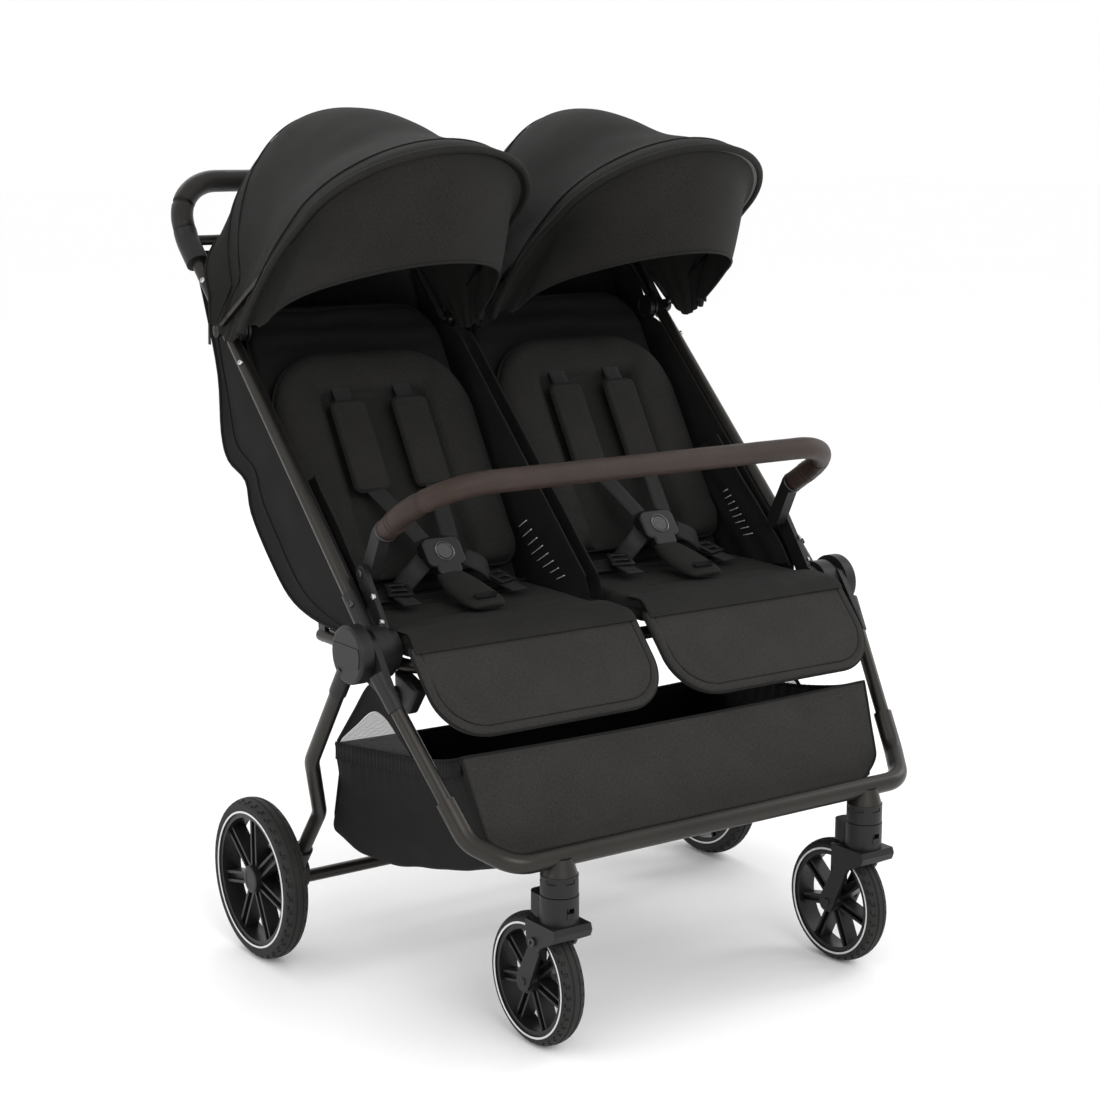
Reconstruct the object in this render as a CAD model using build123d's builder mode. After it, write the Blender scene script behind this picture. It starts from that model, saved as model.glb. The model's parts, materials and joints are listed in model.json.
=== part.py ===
from build123d import *
import os
from math import atan2, cos, degrees, radians, sin, sqrt

# Side by side double stroller, mm. X across, -Y to the front, +Z up.
# The origin is on the floor, on the middle plane, halfway between the axles.

# Wheel layout
WHEEL_BASE = 416.0
CASTER_TRACK = 456.0
REAR_TRACK = 713.0
CASTER_TRAIL = 41.4
FRONT_WHEEL_RADIUS = 76.8
REAR_WHEEL_RADIUS = 101.2

# Folding hub, one on each side
HUB_Y = -39.5
HUB_Z = 436.0
HUB_DISC_RADIUS = 34.0
HUB_PIN_DIAMETER = 12.0
HUB_FACE_X = 372.0
DISC_LAYER = 17.7
LEG_LAYER = 8.0
PUSH_LAYER = 20.9
MOUNT_LAYER = 9.5

# Front legs and bar
LEG_TUBE = 17.0
LEG_TOP_X = 356.0
LEG_TOP_Y = -70.5
LEG_TOP_Z = 430.0
LEG_FOOT_X = 318.5
LEG_FOOT_Y = -203.5
LEG_FOOT_Z = 252.0
BAR_Z = 231.0
BAR_TUBE = 23.0
BAR_BEAD = 11.0
BAR_CORNER_X = 286.0
BAR_CORNER_RADIUS = 40.0
LEG_JOINT_Z = 292.0

# Rear legs
REAR_LEG_TUBE = 18.0
REAR_LEG_TOP_X = 362.5
REAR_LEG_KNEE_X = 356.0
REAR_LEG_KNEE_Z = 284.0
REAR_LEG_FOOT_X = 310.0
REAR_LEG_FOOT_Z = 196.0
REAR_LEG_BEND = 45.0
AXLE_HOUSING_DIAMETER = 28.0
AXLE_HOUSING_LENGTH = 40.0
AXLE_DIAMETER = 10.0
CROSS_TUBE = 16.0

# Push frame and handle
PUSH_TUBE = 16.5
PUSH_X = 333.0
PUSH_ANGLE = 44.6
COLLAR_Z = 876.0
HANDLE_Y = 445.0
HANDLE_Z = 948.0
HANDLE_CORNER_RADIUS = 60.0
GRIP_DIAMETER = 28.0
CROSSBAR_TUBE = 13.0

# Seats
SEAT_X = 165.0
SEAT_TOP_Z = 458.0
SEAT_FRONT_Y = -84.5
BITE_Y = 126.0
BITE_Z = 462.0
BACK_ANGLE = 59.0
BACK_LENGTH = 395.0
BACK_THICKNESS = 20.0
BACK_WIDTH = 264.0
BACK_CORNER = 46.0
PAD_LENGTH = 310.0
PAD_THICKNESS = 21.0
SEAT_RAIL = 16.0
REAR_RAIL = 14.0
MIDDLE_RAIL = 12.0
SEAT_RAIL_X = 303.7
SEAT_RAIL_Z = 418.0

# Calf rests
CALF_X = 164.6
CALF_WIDTH = 315.0
CALF_LENGTH = 122.0
CALF_ANGLE = 48.0
CALF_THICKNESS = 12.0
CALF_CORNER = 46.0

# Bumper bar
BUMPER_TUBE = 27.0
BUMPER_X = 305.5
BUMPER_PIVOT_Y = 12.5
BUMPER_PIVOT_Z = 515.0
BUMPER_SEAM_Y = -20.5
BUMPER_SEAM_Z = 569.0
BUMPER_FRONT_Y = -113.0
BUMPER_FRONT_Z = 629.0
BUMPER_CORNER_RADIUS = 78.0

# Canopies
CANOPY_X = 181.5
CANOPY_HALF_WIDTH = 172.5
CANOPY_PIVOT_Z = 772.0
CANOPY_CLOTH = 3.0
RIM_ANGLE = 37.0
RIM_REACH = 363.7
RIM_CROWN = 136.0
RIM_LEAN = 24.0
REAR_BOW_ANGLE = 94.0
REAR_BOW_REACH = 258.0
REAR_BOW_CROWN = 194.0
REAR_BOW_LEAN = 37.0

# Fits
RUNNING = 0.05
SEATED = 0.05
CLEAR = 0.3

# Basket
BASKET_HALF_WIDTH = SEAT_RAIL_X - SEAT_RAIL / 2 - CLEAR
BASKET_WALL = 3.0

SIDES = (("left", -1), ("right", 1))
os.makedirs("parts", exist_ok=True)


def finish(builder, name):
    builder.part.label = name
    export_step(builder.part, f"parts/{name}.step")
    print(name, len(builder.part.solids()), round(builder.part.volume))


def cross_plane(x, y=0.0, z=0.0):
    """A plane facing +X, with local x to the back and local y up."""
    return Plane(origin=(x, y, z), x_dir=(0, 1, 0), z_dir=(1, 0, 0))


def along(start, end):
    """A plane at start that faces end."""
    direction = Vector(*end) - Vector(*start)
    return Plane(origin=start, z_dir=direction)


def rod(start, end, diameter):
    """A round bar between two points, added to the current part."""
    with BuildSketch(along(start, end)) as section:
        Circle(diameter / 2)
    extrude(section.sketch, amount=(Vector(*end) - Vector(*start)).length)


def pipe(points, bend, diameter, bore=0.0):
    """A round tube along straight runs joined by arcs, added to the current part."""
    with BuildLine(mode=Mode.PRIVATE) as route:
        if bend:
            FilletPolyline(*points, radius=bend)
        else:
            Polyline(*points)
    with BuildSketch(Plane(origin=route.line @ 0, z_dir=route.line % 0)) as section:
        Circle(diameter / 2)
        if bore:
            Circle(bore / 2, mode=Mode.SUBTRACT)
    sweep(section.sketch, path=route.line)


def ray(angle, reach, y=HUB_Y, z=HUB_Z):
    """The point at reach from (y, z), angle measured from the back upwards."""
    return (y + reach * cos(radians(angle)), z + reach * sin(radians(angle)))


# Places worked out from the sizes above
FRONT_AXLE_Y = -WHEEL_BASE / 2
REAR_AXLE_Y = WHEEL_BASE / 2
STEM_Y = FRONT_AXLE_Y - CASTER_TRAIL
STEM_X = CASTER_TRACK / 2
DISC_INNER_X = HUB_FACE_X - DISC_LAYER
LEG_LAYER_OUT = DISC_INNER_X - 0.7
LEG_LAYER_IN = LEG_LAYER_OUT - LEG_LAYER
PUSH_LAYER_OUT = LEG_LAYER_IN - 0.4
PUSH_LAYER_IN = PUSH_LAYER_OUT - PUSH_LAYER
MOUNT_OUT = PUSH_LAYER_IN - 2.8
MOUNT_IN = MOUNT_OUT - MOUNT_LAYER


def push_point(z):
    """The y of the push tube's axis at height z."""
    return HUB_Y + (z - HUB_Z) / sin(radians(PUSH_ANGLE)) * cos(radians(PUSH_ANGLE))


COLLAR_Y = push_point(COLLAR_Z)
CANOPY_PIVOT_Y = push_point(CANOPY_PIVOT_Z)


def leg_point(z):
    """The front leg's axis at height z, for the right side."""
    s = (LEG_TOP_Z - z) / (LEG_TOP_Z - LEG_FOOT_Z)
    return (LEG_TOP_X + s * (LEG_FOOT_X - LEG_TOP_X), LEG_TOP_Y + s * (LEG_FOOT_Y - LEG_TOP_Y), z)


# Front bar: one moulded U that takes both front legs and the caster sockets
STUB_TOP = leg_point(LEG_JOINT_Z)


def bar_path(rise, back):
    """The right half's corner points and the left ones, from stub to stub."""
    half = [
        STUB_TOP,
        (LEG_FOOT_X, LEG_FOOT_Y + back, LEG_FOOT_Z + rise),
        (BAR_CORNER_X, STEM_Y + back, BAR_Z + rise),
    ]
    return half + [(-x, y, z) for x, y, z in reversed(half)]


with BuildPart() as front_bar:
    pipe(bar_path(0, 0), BAR_CORNER_RADIUS, BAR_TUBE)
    pipe(bar_path(10.5, 1.5)[1:-1], BAR_CORNER_RADIUS - 12, BAR_BEAD)
    for side in (-1, 1):
        with BuildSketch(Plane.XY.offset(BAR_Z)):
            with Locations((side * STEM_X, STEM_Y)):
                Circle(15)
        with BuildSketch(Plane.XY.offset(212)):
            with Locations((side * STEM_X, STEM_Y)):
                Circle(20.5)
        loft()
        with Locations((side * STEM_X, STEM_Y, 212)):
            Cylinder(9, 16, align=(Align.CENTER, Align.CENTER, Align.MIN), mode=Mode.SUBTRACT)
        stub, foot = leg_point(LEG_JOINT_Z), leg_point(LEG_FOOT_Z)
        end = Vector(side * stub[0], stub[1], stub[2])
        low = Vector(side * foot[0], foot[1], foot[2])
        with BuildSketch(Plane(origin=end, z_dir=low - end)):
            Circle(LEG_TUBE / 2 + SEATED)
        extrude(amount=30, mode=Mode.SUBTRACT)
finish(front_bar, "front_bar")


# Front leg tubes, seated in the bar's stubs below and in the hub sockets above
LEG_TUBE_TOP_Z = 416.0
LEG_SEAT_DEPTH = 24.0


def leg_plane(side, z):
    """A plane square to the front leg at height z, facing up the leg."""
    top, foot = leg_point(LEG_TOP_Z), leg_point(LEG_FOOT_Z)
    point = leg_point(z)
    origin = Vector(side * point[0], point[1], point[2])
    up = Vector(side * (top[0] - foot[0]), top[1] - foot[1], top[2] - foot[2])
    return Plane(origin=origin, z_dir=up)


LEG_RISE = sin(atan2(LEG_TOP_Z - LEG_FOOT_Z, LEG_TOP_Y - LEG_FOOT_Y))
with BuildPart() as front_leg_tubes:
    low_z = LEG_JOINT_Z - LEG_SEAT_DEPTH * LEG_RISE
    for side in (-1, 1):
        with BuildSketch(leg_plane(side, low_z)):
            Circle(LEG_TUBE / 2)
        extrude(amount=(LEG_TUBE_TOP_Z - low_z) / LEG_RISE)
finish(front_leg_tubes, "front_leg_tubes")


# Hub plates of the front legs, between the hub disc and the push frame's boss
def side_slab(side, low, high):
    """The plane of a slab between two distances from the middle, on one side."""
    return cross_plane(min(side * low, side * high))


SLEEVE = 21.0
SLEEVE_LENGTH = 46.0
HUB_PLATE_RADIUS = 25.0
with BuildPart() as front_leg_sockets:
    for side in (-1, 1):
        tongue_top, tongue_low = leg_point(446.0), leg_point(404.0)
        with BuildSketch(side_slab(side, LEG_LAYER_IN, LEG_LAYER_OUT)):
            with Locations((HUB_Y, HUB_Z)):
                Circle(HUB_PLATE_RADIUS)
            with Locations(tongue_top[1:], tongue_low[1:]):
                Circle(SLEEVE / 2)
            make_hull()
        extrude(amount=LEG_LAYER)
        with BuildSketch(leg_plane(side, LEG_TUBE_TOP_Z + 3)):
            Circle(SLEEVE / 2)
        extrude(amount=-SLEEVE_LENGTH)
    for side in (-1, 1):
        with BuildSketch(side_slab(side, 0, LEG_LAYER_IN)):
            with Locations((HUB_Y - 40, HUB_Z - 30)):
                Rectangle(260, 260)
        extrude(amount=LEG_LAYER_IN, mode=Mode.SUBTRACT)
        with BuildSketch(side_slab(side, LEG_LAYER_OUT, HUB_FACE_X + 5)):
            with Locations((HUB_Y, HUB_Z)):
                Circle(HUB_DISC_RADIUS + 0.7)
        extrude(amount=HUB_FACE_X + 5 - LEG_LAYER_OUT, mode=Mode.SUBTRACT)
        with BuildSketch(side_slab(side, LEG_LAYER_IN - 1, LEG_LAYER_OUT + 1)):
            with Locations((HUB_Y, HUB_Z)):
                Circle(HUB_PIN_DIAMETER / 2 + SEATED)
        extrude(amount=LEG_LAYER + 2, mode=Mode.SUBTRACT)
        with BuildSketch(leg_plane(side, LEG_TUBE_TOP_Z)):
            Circle(LEG_TUBE / 2 + SEATED)
        extrude(amount=-SLEEVE_LENGTH - 10, mode=Mode.SUBTRACT)
finish(front_leg_sockets, "front_leg_sockets")

# Caster sockets under the bar, with a ring of notches and two lock pockets
SOCKET_TOP_Z = 211.9
SOCKET_LOW_Z = 189.3
STEM_DIAMETER = 14.0
HOUSING_RADIUS = 22.0
LOCK_PIN = 4.0
LOCK_REACH = 16.5
LOCK_TRAVEL = 5.0
with BuildPart() as caster_sockets:
    for side in (-1, 1):
        with BuildSketch(Plane.XY.offset(SOCKET_LOW_Z)):
            with Locations((side * STEM_X, STEM_Y)):
                Circle(HOUSING_RADIUS - 0.5)
        extrude(amount=SOCKET_TOP_Z - SOCKET_LOW_Z)
        with BuildSketch(Plane.XY.offset(SOCKET_TOP_Z)):
            with Locations((side * STEM_X, STEM_Y)):
                Circle(8.9)
        extrude(amount=14)
        with BuildSketch(Plane.XY.offset(SOCKET_TOP_Z - 7.5)):
            with Locations((side * STEM_X, STEM_Y)):
                with PolarLocations(HOUSING_RADIUS, 6, start_angle=30):
                    Rectangle(4, 12)
        extrude(amount=5, mode=Mode.SUBTRACT)
        with BuildSketch(Plane.XY.offset(SOCKET_LOW_Z)):
            with Locations((side * STEM_X, STEM_Y)):
                Circle(STEM_DIAMETER / 2 + RUNNING)
        extrude(amount=30, mode=Mode.SUBTRACT)
        with BuildSketch(Plane.XY.offset(SOCKET_LOW_Z)):
            with Locations((side * STEM_X, STEM_Y)):
                with PolarLocations(LOCK_REACH, 2, start_angle=90):
                    Circle(LOCK_PIN / 2 + 0.4)
        extrude(amount=LOCK_TRAVEL + 1.5, mode=Mode.SUBTRACT)
finish(caster_sockets, "caster_sockets")

# Seat frame: side rails, front and rear rails, middle rail and the backs' hinge rod
SEAT_RAIL_FRONT_Y = -78.0
SEAT_RAIL_REAR_Y = 128.0
BACK_PIVOT_Y = BITE_Y + 6.0
BACK_PIVOT_Z = BITE_Z - 11.0
SEAT_RAIL_BEND = 32.0
BACK_ROD = 8.0
EAR_WIDTH = 6.2
BACK_ROD_END_X = SEAT_RAIL_X + 4.0
CALF_HINGE_Y = SEAT_FRONT_Y - 4
CALF_HINGE_Z = 446.0
CALF_PIN = 6.0
CALF_PIN_REACH = 11.0
CALF_EAR_X = 95.0
with BuildPart() as seat_frame:
    rail_end_y = SEAT_RAIL_REAR_Y + SEAT_RAIL / 2
    corners = [
        (SEAT_RAIL_X, rail_end_y, SEAT_RAIL_Z),
        (SEAT_RAIL_X, SEAT_RAIL_FRONT_Y, SEAT_RAIL_Z),
        (-SEAT_RAIL_X, SEAT_RAIL_FRONT_Y, SEAT_RAIL_Z),
        (-SEAT_RAIL_X, rail_end_y, SEAT_RAIL_Z),
    ]
    pipe(corners, SEAT_RAIL_BEND, SEAT_RAIL)
    rod((-SEAT_RAIL_X, SEAT_RAIL_REAR_Y, SEAT_RAIL_Z), (SEAT_RAIL_X, SEAT_RAIL_REAR_Y, SEAT_RAIL_Z), REAR_RAIL)
    rod((0, SEAT_RAIL_FRONT_Y, SEAT_RAIL_Z), (0, SEAT_RAIL_REAR_Y, SEAT_RAIL_Z), MIDDLE_RAIL)
    rod((-BACK_ROD_END_X, BACK_PIVOT_Y, BACK_PIVOT_Z), (BACK_ROD_END_X, BACK_PIVOT_Y, BACK_PIVOT_Z), BACK_ROD)
    for low in (-BACK_ROD_END_X, -EAR_WIDTH / 2, BACK_ROD_END_X - EAR_WIDTH):
        with BuildSketch(cross_plane(low)):
            with Locations((BACK_PIVOT_Y, BACK_PIVOT_Z), (SEAT_RAIL_REAR_Y, SEAT_RAIL_Z)):
                Circle(7.5)
            make_hull()
        extrude(amount=EAR_WIDTH)
    # ears and pins in front for the calf rests
    for side in (-1, 1):
        for ear_x in (-CALF_EAR_X, CALF_EAR_X):
            middle_x = side * CALF_X + ear_x
            with BuildSketch(cross_plane(middle_x - EAR_WIDTH / 2)):
                with Locations((CALF_HINGE_Y, CALF_HINGE_Z)):
                    Circle(CALF_PIN / 2 + 2)
                with Locations((SEAT_RAIL_FRONT_Y - 1, SEAT_RAIL_Z)):
                    Circle(6)
                make_hull()
            extrude(amount=EAR_WIDTH)
            reach = EAR_WIDTH / 2 + CALF_PIN_REACH
            rod(
                (middle_x - reach, CALF_HINGE_Y, CALF_HINGE_Z),
                (middle_x + reach, CALF_HINGE_Y, CALF_HINGE_Z),
                CALF_PIN,
            )
finish(seat_frame, "seat_frame")

# Hub brackets: they join the seat frame to the hubs and carry the hub pins
# and the bumper bar's posts
with BuildPart() as hub_brackets:
    for side in (-1, 1):
        with BuildSketch(side_slab(side, MOUNT_IN, MOUNT_OUT)):
            with Locations((HUB_Y, HUB_Z)):
                Circle(24)
            with Locations((HUB_Y + 8, SEAT_RAIL_Z)):
                Circle(16)
            make_hull()
        extrude(amount=MOUNT_LAYER)
        with BuildSketch(side_slab(side, MOUNT_IN + 3, MOUNT_OUT)):
            with Locations((BUMPER_PIVOT_Y, BUMPER_PIVOT_Z)):
                Circle(10)
            with Locations((HUB_Y + 4, HUB_Z + 10)):
                Circle(12)
            make_hull()
        extrude(amount=MOUNT_LAYER - 3)
        with BuildSketch(side_slab(side, MOUNT_IN, HUB_FACE_X - 8)):
            with Locations((HUB_Y, HUB_Z)):
                Circle(HUB_PIN_DIAMETER / 2)
        extrude(amount=HUB_FACE_X - 8 - MOUNT_IN)
        with BuildSketch(side_slab(side, BUMPER_X - 6, MOUNT_OUT)):
            with Locations((BUMPER_PIVOT_Y, BUMPER_PIVOT_Z)):
                Circle(4)
        extrude(amount=MOUNT_OUT - BUMPER_X + 6)
finish(hub_brackets, "hub_brackets")


# Bumper bar and its two end links
def bumper_path():
    half = [
        (BUMPER_X, BUMPER_SEAM_Y, BUMPER_SEAM_Z),
        (BUMPER_X, BUMPER_FRONT_Y, BUMPER_FRONT_Z),
    ]
    return half + [(-x, y, z) for x, y, z in reversed(half)]


with BuildPart() as bumper_bar:
    pipe(bumper_path(), BUMPER_CORNER_RADIUS, BUMPER_TUBE)
finish(bumper_bar, "bumper_bar")

with BuildPart() as bumper_links:
    seam = Vector(0, BUMPER_SEAM_Y, BUMPER_SEAM_Z)
    front = Vector(0, BUMPER_FRONT_Y, BUMPER_FRONT_Z)
    back_way = (seam - front).normalized()
    for side in (-1, 1):
        start = seam + back_way * SEATED + Vector(side * BUMPER_X, 0, 0)
        with BuildSketch(Plane(origin=start, z_dir=back_way)):
            Circle(BUMPER_TUBE / 2 - 1)
        extrude(amount=9)
        with BuildSketch(side_slab(side, BUMPER_X - 6, MOUNT_IN + 2.7)):
            with Locations((BUMPER_PIVOT_Y, BUMPER_PIVOT_Z)):
                Circle(10)
            with Locations(tuple(seam + back_way * 11)[1:]):
                Circle(9)
            make_hull()
        extrude(amount=MOUNT_IN + 2.7 - BUMPER_X + 6)
        with BuildSketch(side_slab(side, BUMPER_X - 7, MOUNT_IN + 4)):
            with Locations((BUMPER_PIVOT_Y, BUMPER_PIVOT_Z)):
                Circle(4 + RUNNING)
        extrude(amount=MOUNT_IN + 11 - BUMPER_X, mode=Mode.SUBTRACT)
finish(bumper_links, "bumper_links")


# Seats: base cushions with a crowned top and two cross channels
BASE_REAR_Y = BACK_PIVOT_Y - 14.0
BASE_FRONT_Y = SEAT_FRONT_Y + 9.5
BASE_LOW_Z = SEAT_RAIL_Z + SEAT_RAIL / 2 + CLEAR
for name, side in SIDES:
    with BuildPart() as seat_base:
        base_middle = (BASE_REAR_Y + BASE_FRONT_Y) / 2
        base_length = BASE_REAR_Y - BASE_FRONT_Y
        with BuildSketch(Plane.XY.offset(BASE_LOW_Z)):
            with Locations((side * SEAT_X, base_middle)):
                RectangleRounded(BACK_WIDTH, base_length, 22)
        extrude(amount=SEAT_TOP_Z - BASE_LOW_Z)
        fillet(seat_base.faces().sort_by(Axis.Z)[-1].edges(), radius=11)
        with BuildSketch(cross_plane(side * SEAT_X)):
            with Locations((base_middle - 20, SEAT_TOP_Z + 1), (base_middle + 45, SEAT_TOP_Z + 1)):
                Circle(3)
        extrude(amount=104, both=True, mode=Mode.SUBTRACT)
    finish(seat_base, f"seat_base_{name}")


# Backrests: a padded panel on the hinge rod, with harness slots
def back_plane(side, height):
    """A plane on the backrest, facing the child, with local y up the back."""
    tilt = radians(BACK_ANGLE)
    face = Vector(0, -sin(tilt), cos(tilt))
    origin = Vector(side * SEAT_X, BACK_PIVOT_Y, BACK_PIVOT_Z) + face * height
    return Plane(origin=origin, x_dir=(1, 0, 0), z_dir=face)


PAD_LOW = 26.0
SLOT_ROW = 246.0
STRAP_X = 37.0
BELT_SLOT = (32.0, 8.0)
PAD_TOP = BACK_THICKNESS / 2 + PAD_THICKNESS
for name, side in SIDES:
    with BuildPart() as backrest:
        with BuildSketch(back_plane(side, -BACK_THICKNESS / 2)):
            with Locations((0, BACK_LENGTH / 2)):
                RectangleRounded(BACK_WIDTH, BACK_LENGTH, BACK_CORNER)
            with Locations((0, BACK_CORNER)):
                Rectangle(BACK_WIDTH, 2 * BACK_CORNER)
        extrude(amount=BACK_THICKNESS)
        with BuildSketch(cross_plane(side * SEAT_X)):
            with Locations((BACK_PIVOT_Y, BACK_PIVOT_Z)):
                Circle(BACK_THICKNESS / 2)
        extrude(amount=132, both=True)
        with BuildSketch(back_plane(side, BACK_THICKNESS / 2 - 1)):
            with Locations((0, PAD_LOW + PAD_LENGTH / 2)):
                RectangleRounded(238, PAD_LENGTH, 42)
        with BuildSketch(back_plane(side, BACK_THICKNESS / 2 + 10)):
            with Locations((0, PAD_LOW + PAD_LENGTH / 2)):
                RectangleRounded(242, PAD_LENGTH + 4, 42)
        with BuildSketch(back_plane(side, PAD_TOP)):
            with Locations((0, PAD_LOW + PAD_LENGTH / 2)):
                RectangleRounded(216, PAD_LENGTH - 24, 32)
        loft()
        with BuildSketch(back_plane(side, PAD_TOP + 5)):
            with Locations((-STRAP_X, SLOT_ROW), (STRAP_X, SLOT_ROW)):
                Rectangle(*BELT_SLOT)
        extrude(amount=-PAD_THICKNESS, mode=Mode.SUBTRACT)
        with BuildSketch(cross_plane(side * SEAT_X)):
            with Locations((BACK_PIVOT_Y, BACK_PIVOT_Z)):
                Circle(BACK_ROD / 2 + RUNNING)
        extrude(amount=140, both=True, mode=Mode.SUBTRACT)
    finish(backrest, f"backrest_{name}")


# Harness: shoulder pads, webbing, buckle, its button and the crotch pad
SHOULDER_LOW = 142.0
SHOULDER_LENGTH = 98.0
SHOULDER_WIDTH = 48.0
for name, side in SIDES:
    with BuildPart() as shoulder_pads:
        with BuildSketch(back_plane(side, PAD_TOP + CLEAR)):
            middle = SHOULDER_LOW + SHOULDER_LENGTH / 2
            with Locations((-STRAP_X, middle), (STRAP_X, middle)):
                RectangleRounded(SHOULDER_WIDTH, SHOULDER_LENGTH, 9)
        extrude(amount=13)
        fillet(shoulder_pads.faces().filter_by(back_plane(side, 0)).edges(), radius=4)
    finish(shoulder_pads, f"shoulder_pads_{name}")

BUCKLE_Y = 90.0
BUCKLE_Z = 505.0
BUCKLE_TILT = 52.0
BUCKLE_WIDTH = 54.0
BUCKLE_HEAD = 20.0
BUCKLE_FOOT = -31.0
BUCKLE_THICKNESS = 15.0
BUTTON_TRAVEL = 3.0


def buckle_plane(side, height):
    """A plane on the buckle, facing out of the seat, with local y up its face."""
    tilt = radians(BUCKLE_TILT)
    face = Vector(0, -sin(tilt), cos(tilt))
    origin = Vector(side * SEAT_X, BUCKLE_Y, BUCKLE_Z) + face * height
    return Plane(origin=origin, x_dir=(1, 0, 0), z_dir=face)


for name, side in SIDES:
    with BuildPart() as buckle:
        with BuildSketch(buckle_plane(side, 0)):
            RectangleRounded(BUCKLE_WIDTH, 2 * BUCKLE_HEAD, 10)
            with Locations((0, BUCKLE_FOOT / 2)):
                RectangleRounded(34, -BUCKLE_FOOT, 6)
        extrude(amount=BUCKLE_THICKNESS)
        fillet(buckle.faces().filter_by(buckle_plane(side, 0)).sort_by(Axis.Z)[-1].edges(), radius=3)
        with BuildSketch(buckle_plane(side, 8)):
            Circle(10.6)
        extrude(amount=10, mode=Mode.SUBTRACT)
    finish(buckle, f"buckle_{name}")
    with BuildPart() as buckle_button:
        with BuildSketch(buckle_plane(side, 8 + BUTTON_TRAVEL + CLEAR)):
            Circle(10.2)
        extrude(amount=4.2)
    finish(buckle_button, f"buckle_button_{name}")

with BuildPart() as crotch_pads:
    for side in (-1, 1):
        slope = cross_plane(side * SEAT_X)
        low_y, low_z = 2.0, SEAT_TOP_Z + CLEAR
        foot = buckle_plane(side, 0).from_local_coords(Vector(0, BUCKLE_FOOT - CLEAR, 0))
        lip = buckle_plane(side, BUCKLE_THICKNESS - 2).from_local_coords(Vector(0, BUCKLE_FOOT - CLEAR, 0))
        with BuildSketch(slope):
            with BuildLine():
                Polyline(
                    (low_y, low_z),
                    (low_y - 24, low_z + 3),
                    (low_y - 24, low_z + 11),
                    (low_y, low_z + 16),
                    (lip.Y, lip.Z),
                    (foot.Y, foot.Z),
                    (foot.Y, low_z),
                    close=True,
                )
            make_face()
        extrude(amount=28, both=True)
    fillet(crotch_pads.edges().filter_by(GeomType.LINE).filter_by(Axis.X), radius=2)
finish(crotch_pads, "crotch_pads")

# Calf rests: a padded board on a hinge below the seat's front edge
CALF_BARREL = 7.0


def calf_plane(side, height):
    """A plane on the calf rest, facing up and forward, with local y down the board."""
    drop = radians(CALF_ANGLE)
    face = Vector(0, -sin(drop), cos(drop))
    origin = Vector(side * CALF_X, CALF_HINGE_Y, CALF_HINGE_Z) + face * height
    return Plane(origin=origin, x_dir=(-1, 0, 0), z_dir=face)


for name, side in SIDES:
    with BuildPart() as calf_rest:
        half = CALF_WIDTH / 2
        low = CALF_LENGTH
        for height, inset in ((-CALF_THICKNESS / 2, 3), (0, 0), (CALF_THICKNESS / 2, 3)):
            with BuildSketch(calf_plane(side, height)):
                with BuildLine():
                    Line((-half + inset, inset), (-half + inset, low - CALF_CORNER))
                    TangentArc(
                        (-half + inset, low - CALF_CORNER),
                        (-half + CALF_CORNER, low - inset),
                        tangent=(0, 1),
                    )
                    Line((-half + CALF_CORNER, low - inset), (half - CALF_CORNER, low - inset))
                    TangentArc(
                        (half - CALF_CORNER, low - inset),
                        (half - inset, low - CALF_CORNER),
                        tangent=(1, 0),
                    )
                    Line((half - inset, low - CALF_CORNER), (half - inset, inset))
                    Line((half - inset, inset), (-half + inset, inset))
                make_face()
        loft(ruled=True)
        with BuildSketch(cross_plane(side * CALF_X - half + 3)):
            with Locations((CALF_HINGE_Y, CALF_HINGE_Z)):
                Circle(CALF_BARREL)
        extrude(amount=CALF_WIDTH - 6)
        with BuildSketch(cross_plane(side * CALF_X - half)):
            with Locations((CALF_HINGE_Y, CALF_HINGE_Z)):
                Circle(CALF_PIN / 2 + RUNNING)
        extrude(amount=CALF_WIDTH, mode=Mode.SUBTRACT)
        for ear_x in (-CALF_EAR_X, CALF_EAR_X):
            notch = EAR_WIDTH + 2 * CLEAR
            with BuildSketch(cross_plane(side * CALF_X + ear_x - notch / 2)):
                with Locations((CALF_HINGE_Y, CALF_HINGE_Z)):
                    Circle(CALF_BARREL + 9)
            extrude(amount=notch, mode=Mode.SUBTRACT)
    finish(calf_rest, f"calf_rest_{name}")


# Basket: an open bag between the legs, with side tabs up to the seat rails
PANEL_TOP = Vector(0, -162, 334)
PANEL_LOW = Vector(0, -207, 224)
PANEL_THICKNESS = 6.0
PANEL_UP = (PANEL_TOP - PANEL_LOW).normalized()
PANEL_FACE = Vector(1, 0, 0).cross(PANEL_UP)
BASKET_FLOOR = [(-146, 192), (40, 148), (150, 152)]
BASKET_REAR_TOP = (120, 284)


def basket_outline(inset):
    """The basket's side outline, drawn in by inset and open above if inset."""
    front = [point - PANEL_FACE * (CLEAR + inset) for point in (PANEL_TOP, PANEL_LOW + PANEL_UP * 2)]
    floor = [(y, z + inset * 1.1) for y, z in BASKET_FLOOR]
    rear_y, rear_z = BASKET_REAR_TOP
    above = [(rear_y - inset, 440), (front[0].Y, 440)] if inset else []
    points = [(front[0].Y, front[0].Z), (front[1].Y, front[1].Z), *floor[:-1]]
    return [*points, (floor[-1][0] - inset, floor[-1][1]), (rear_y - inset, rear_z), *above]


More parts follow.
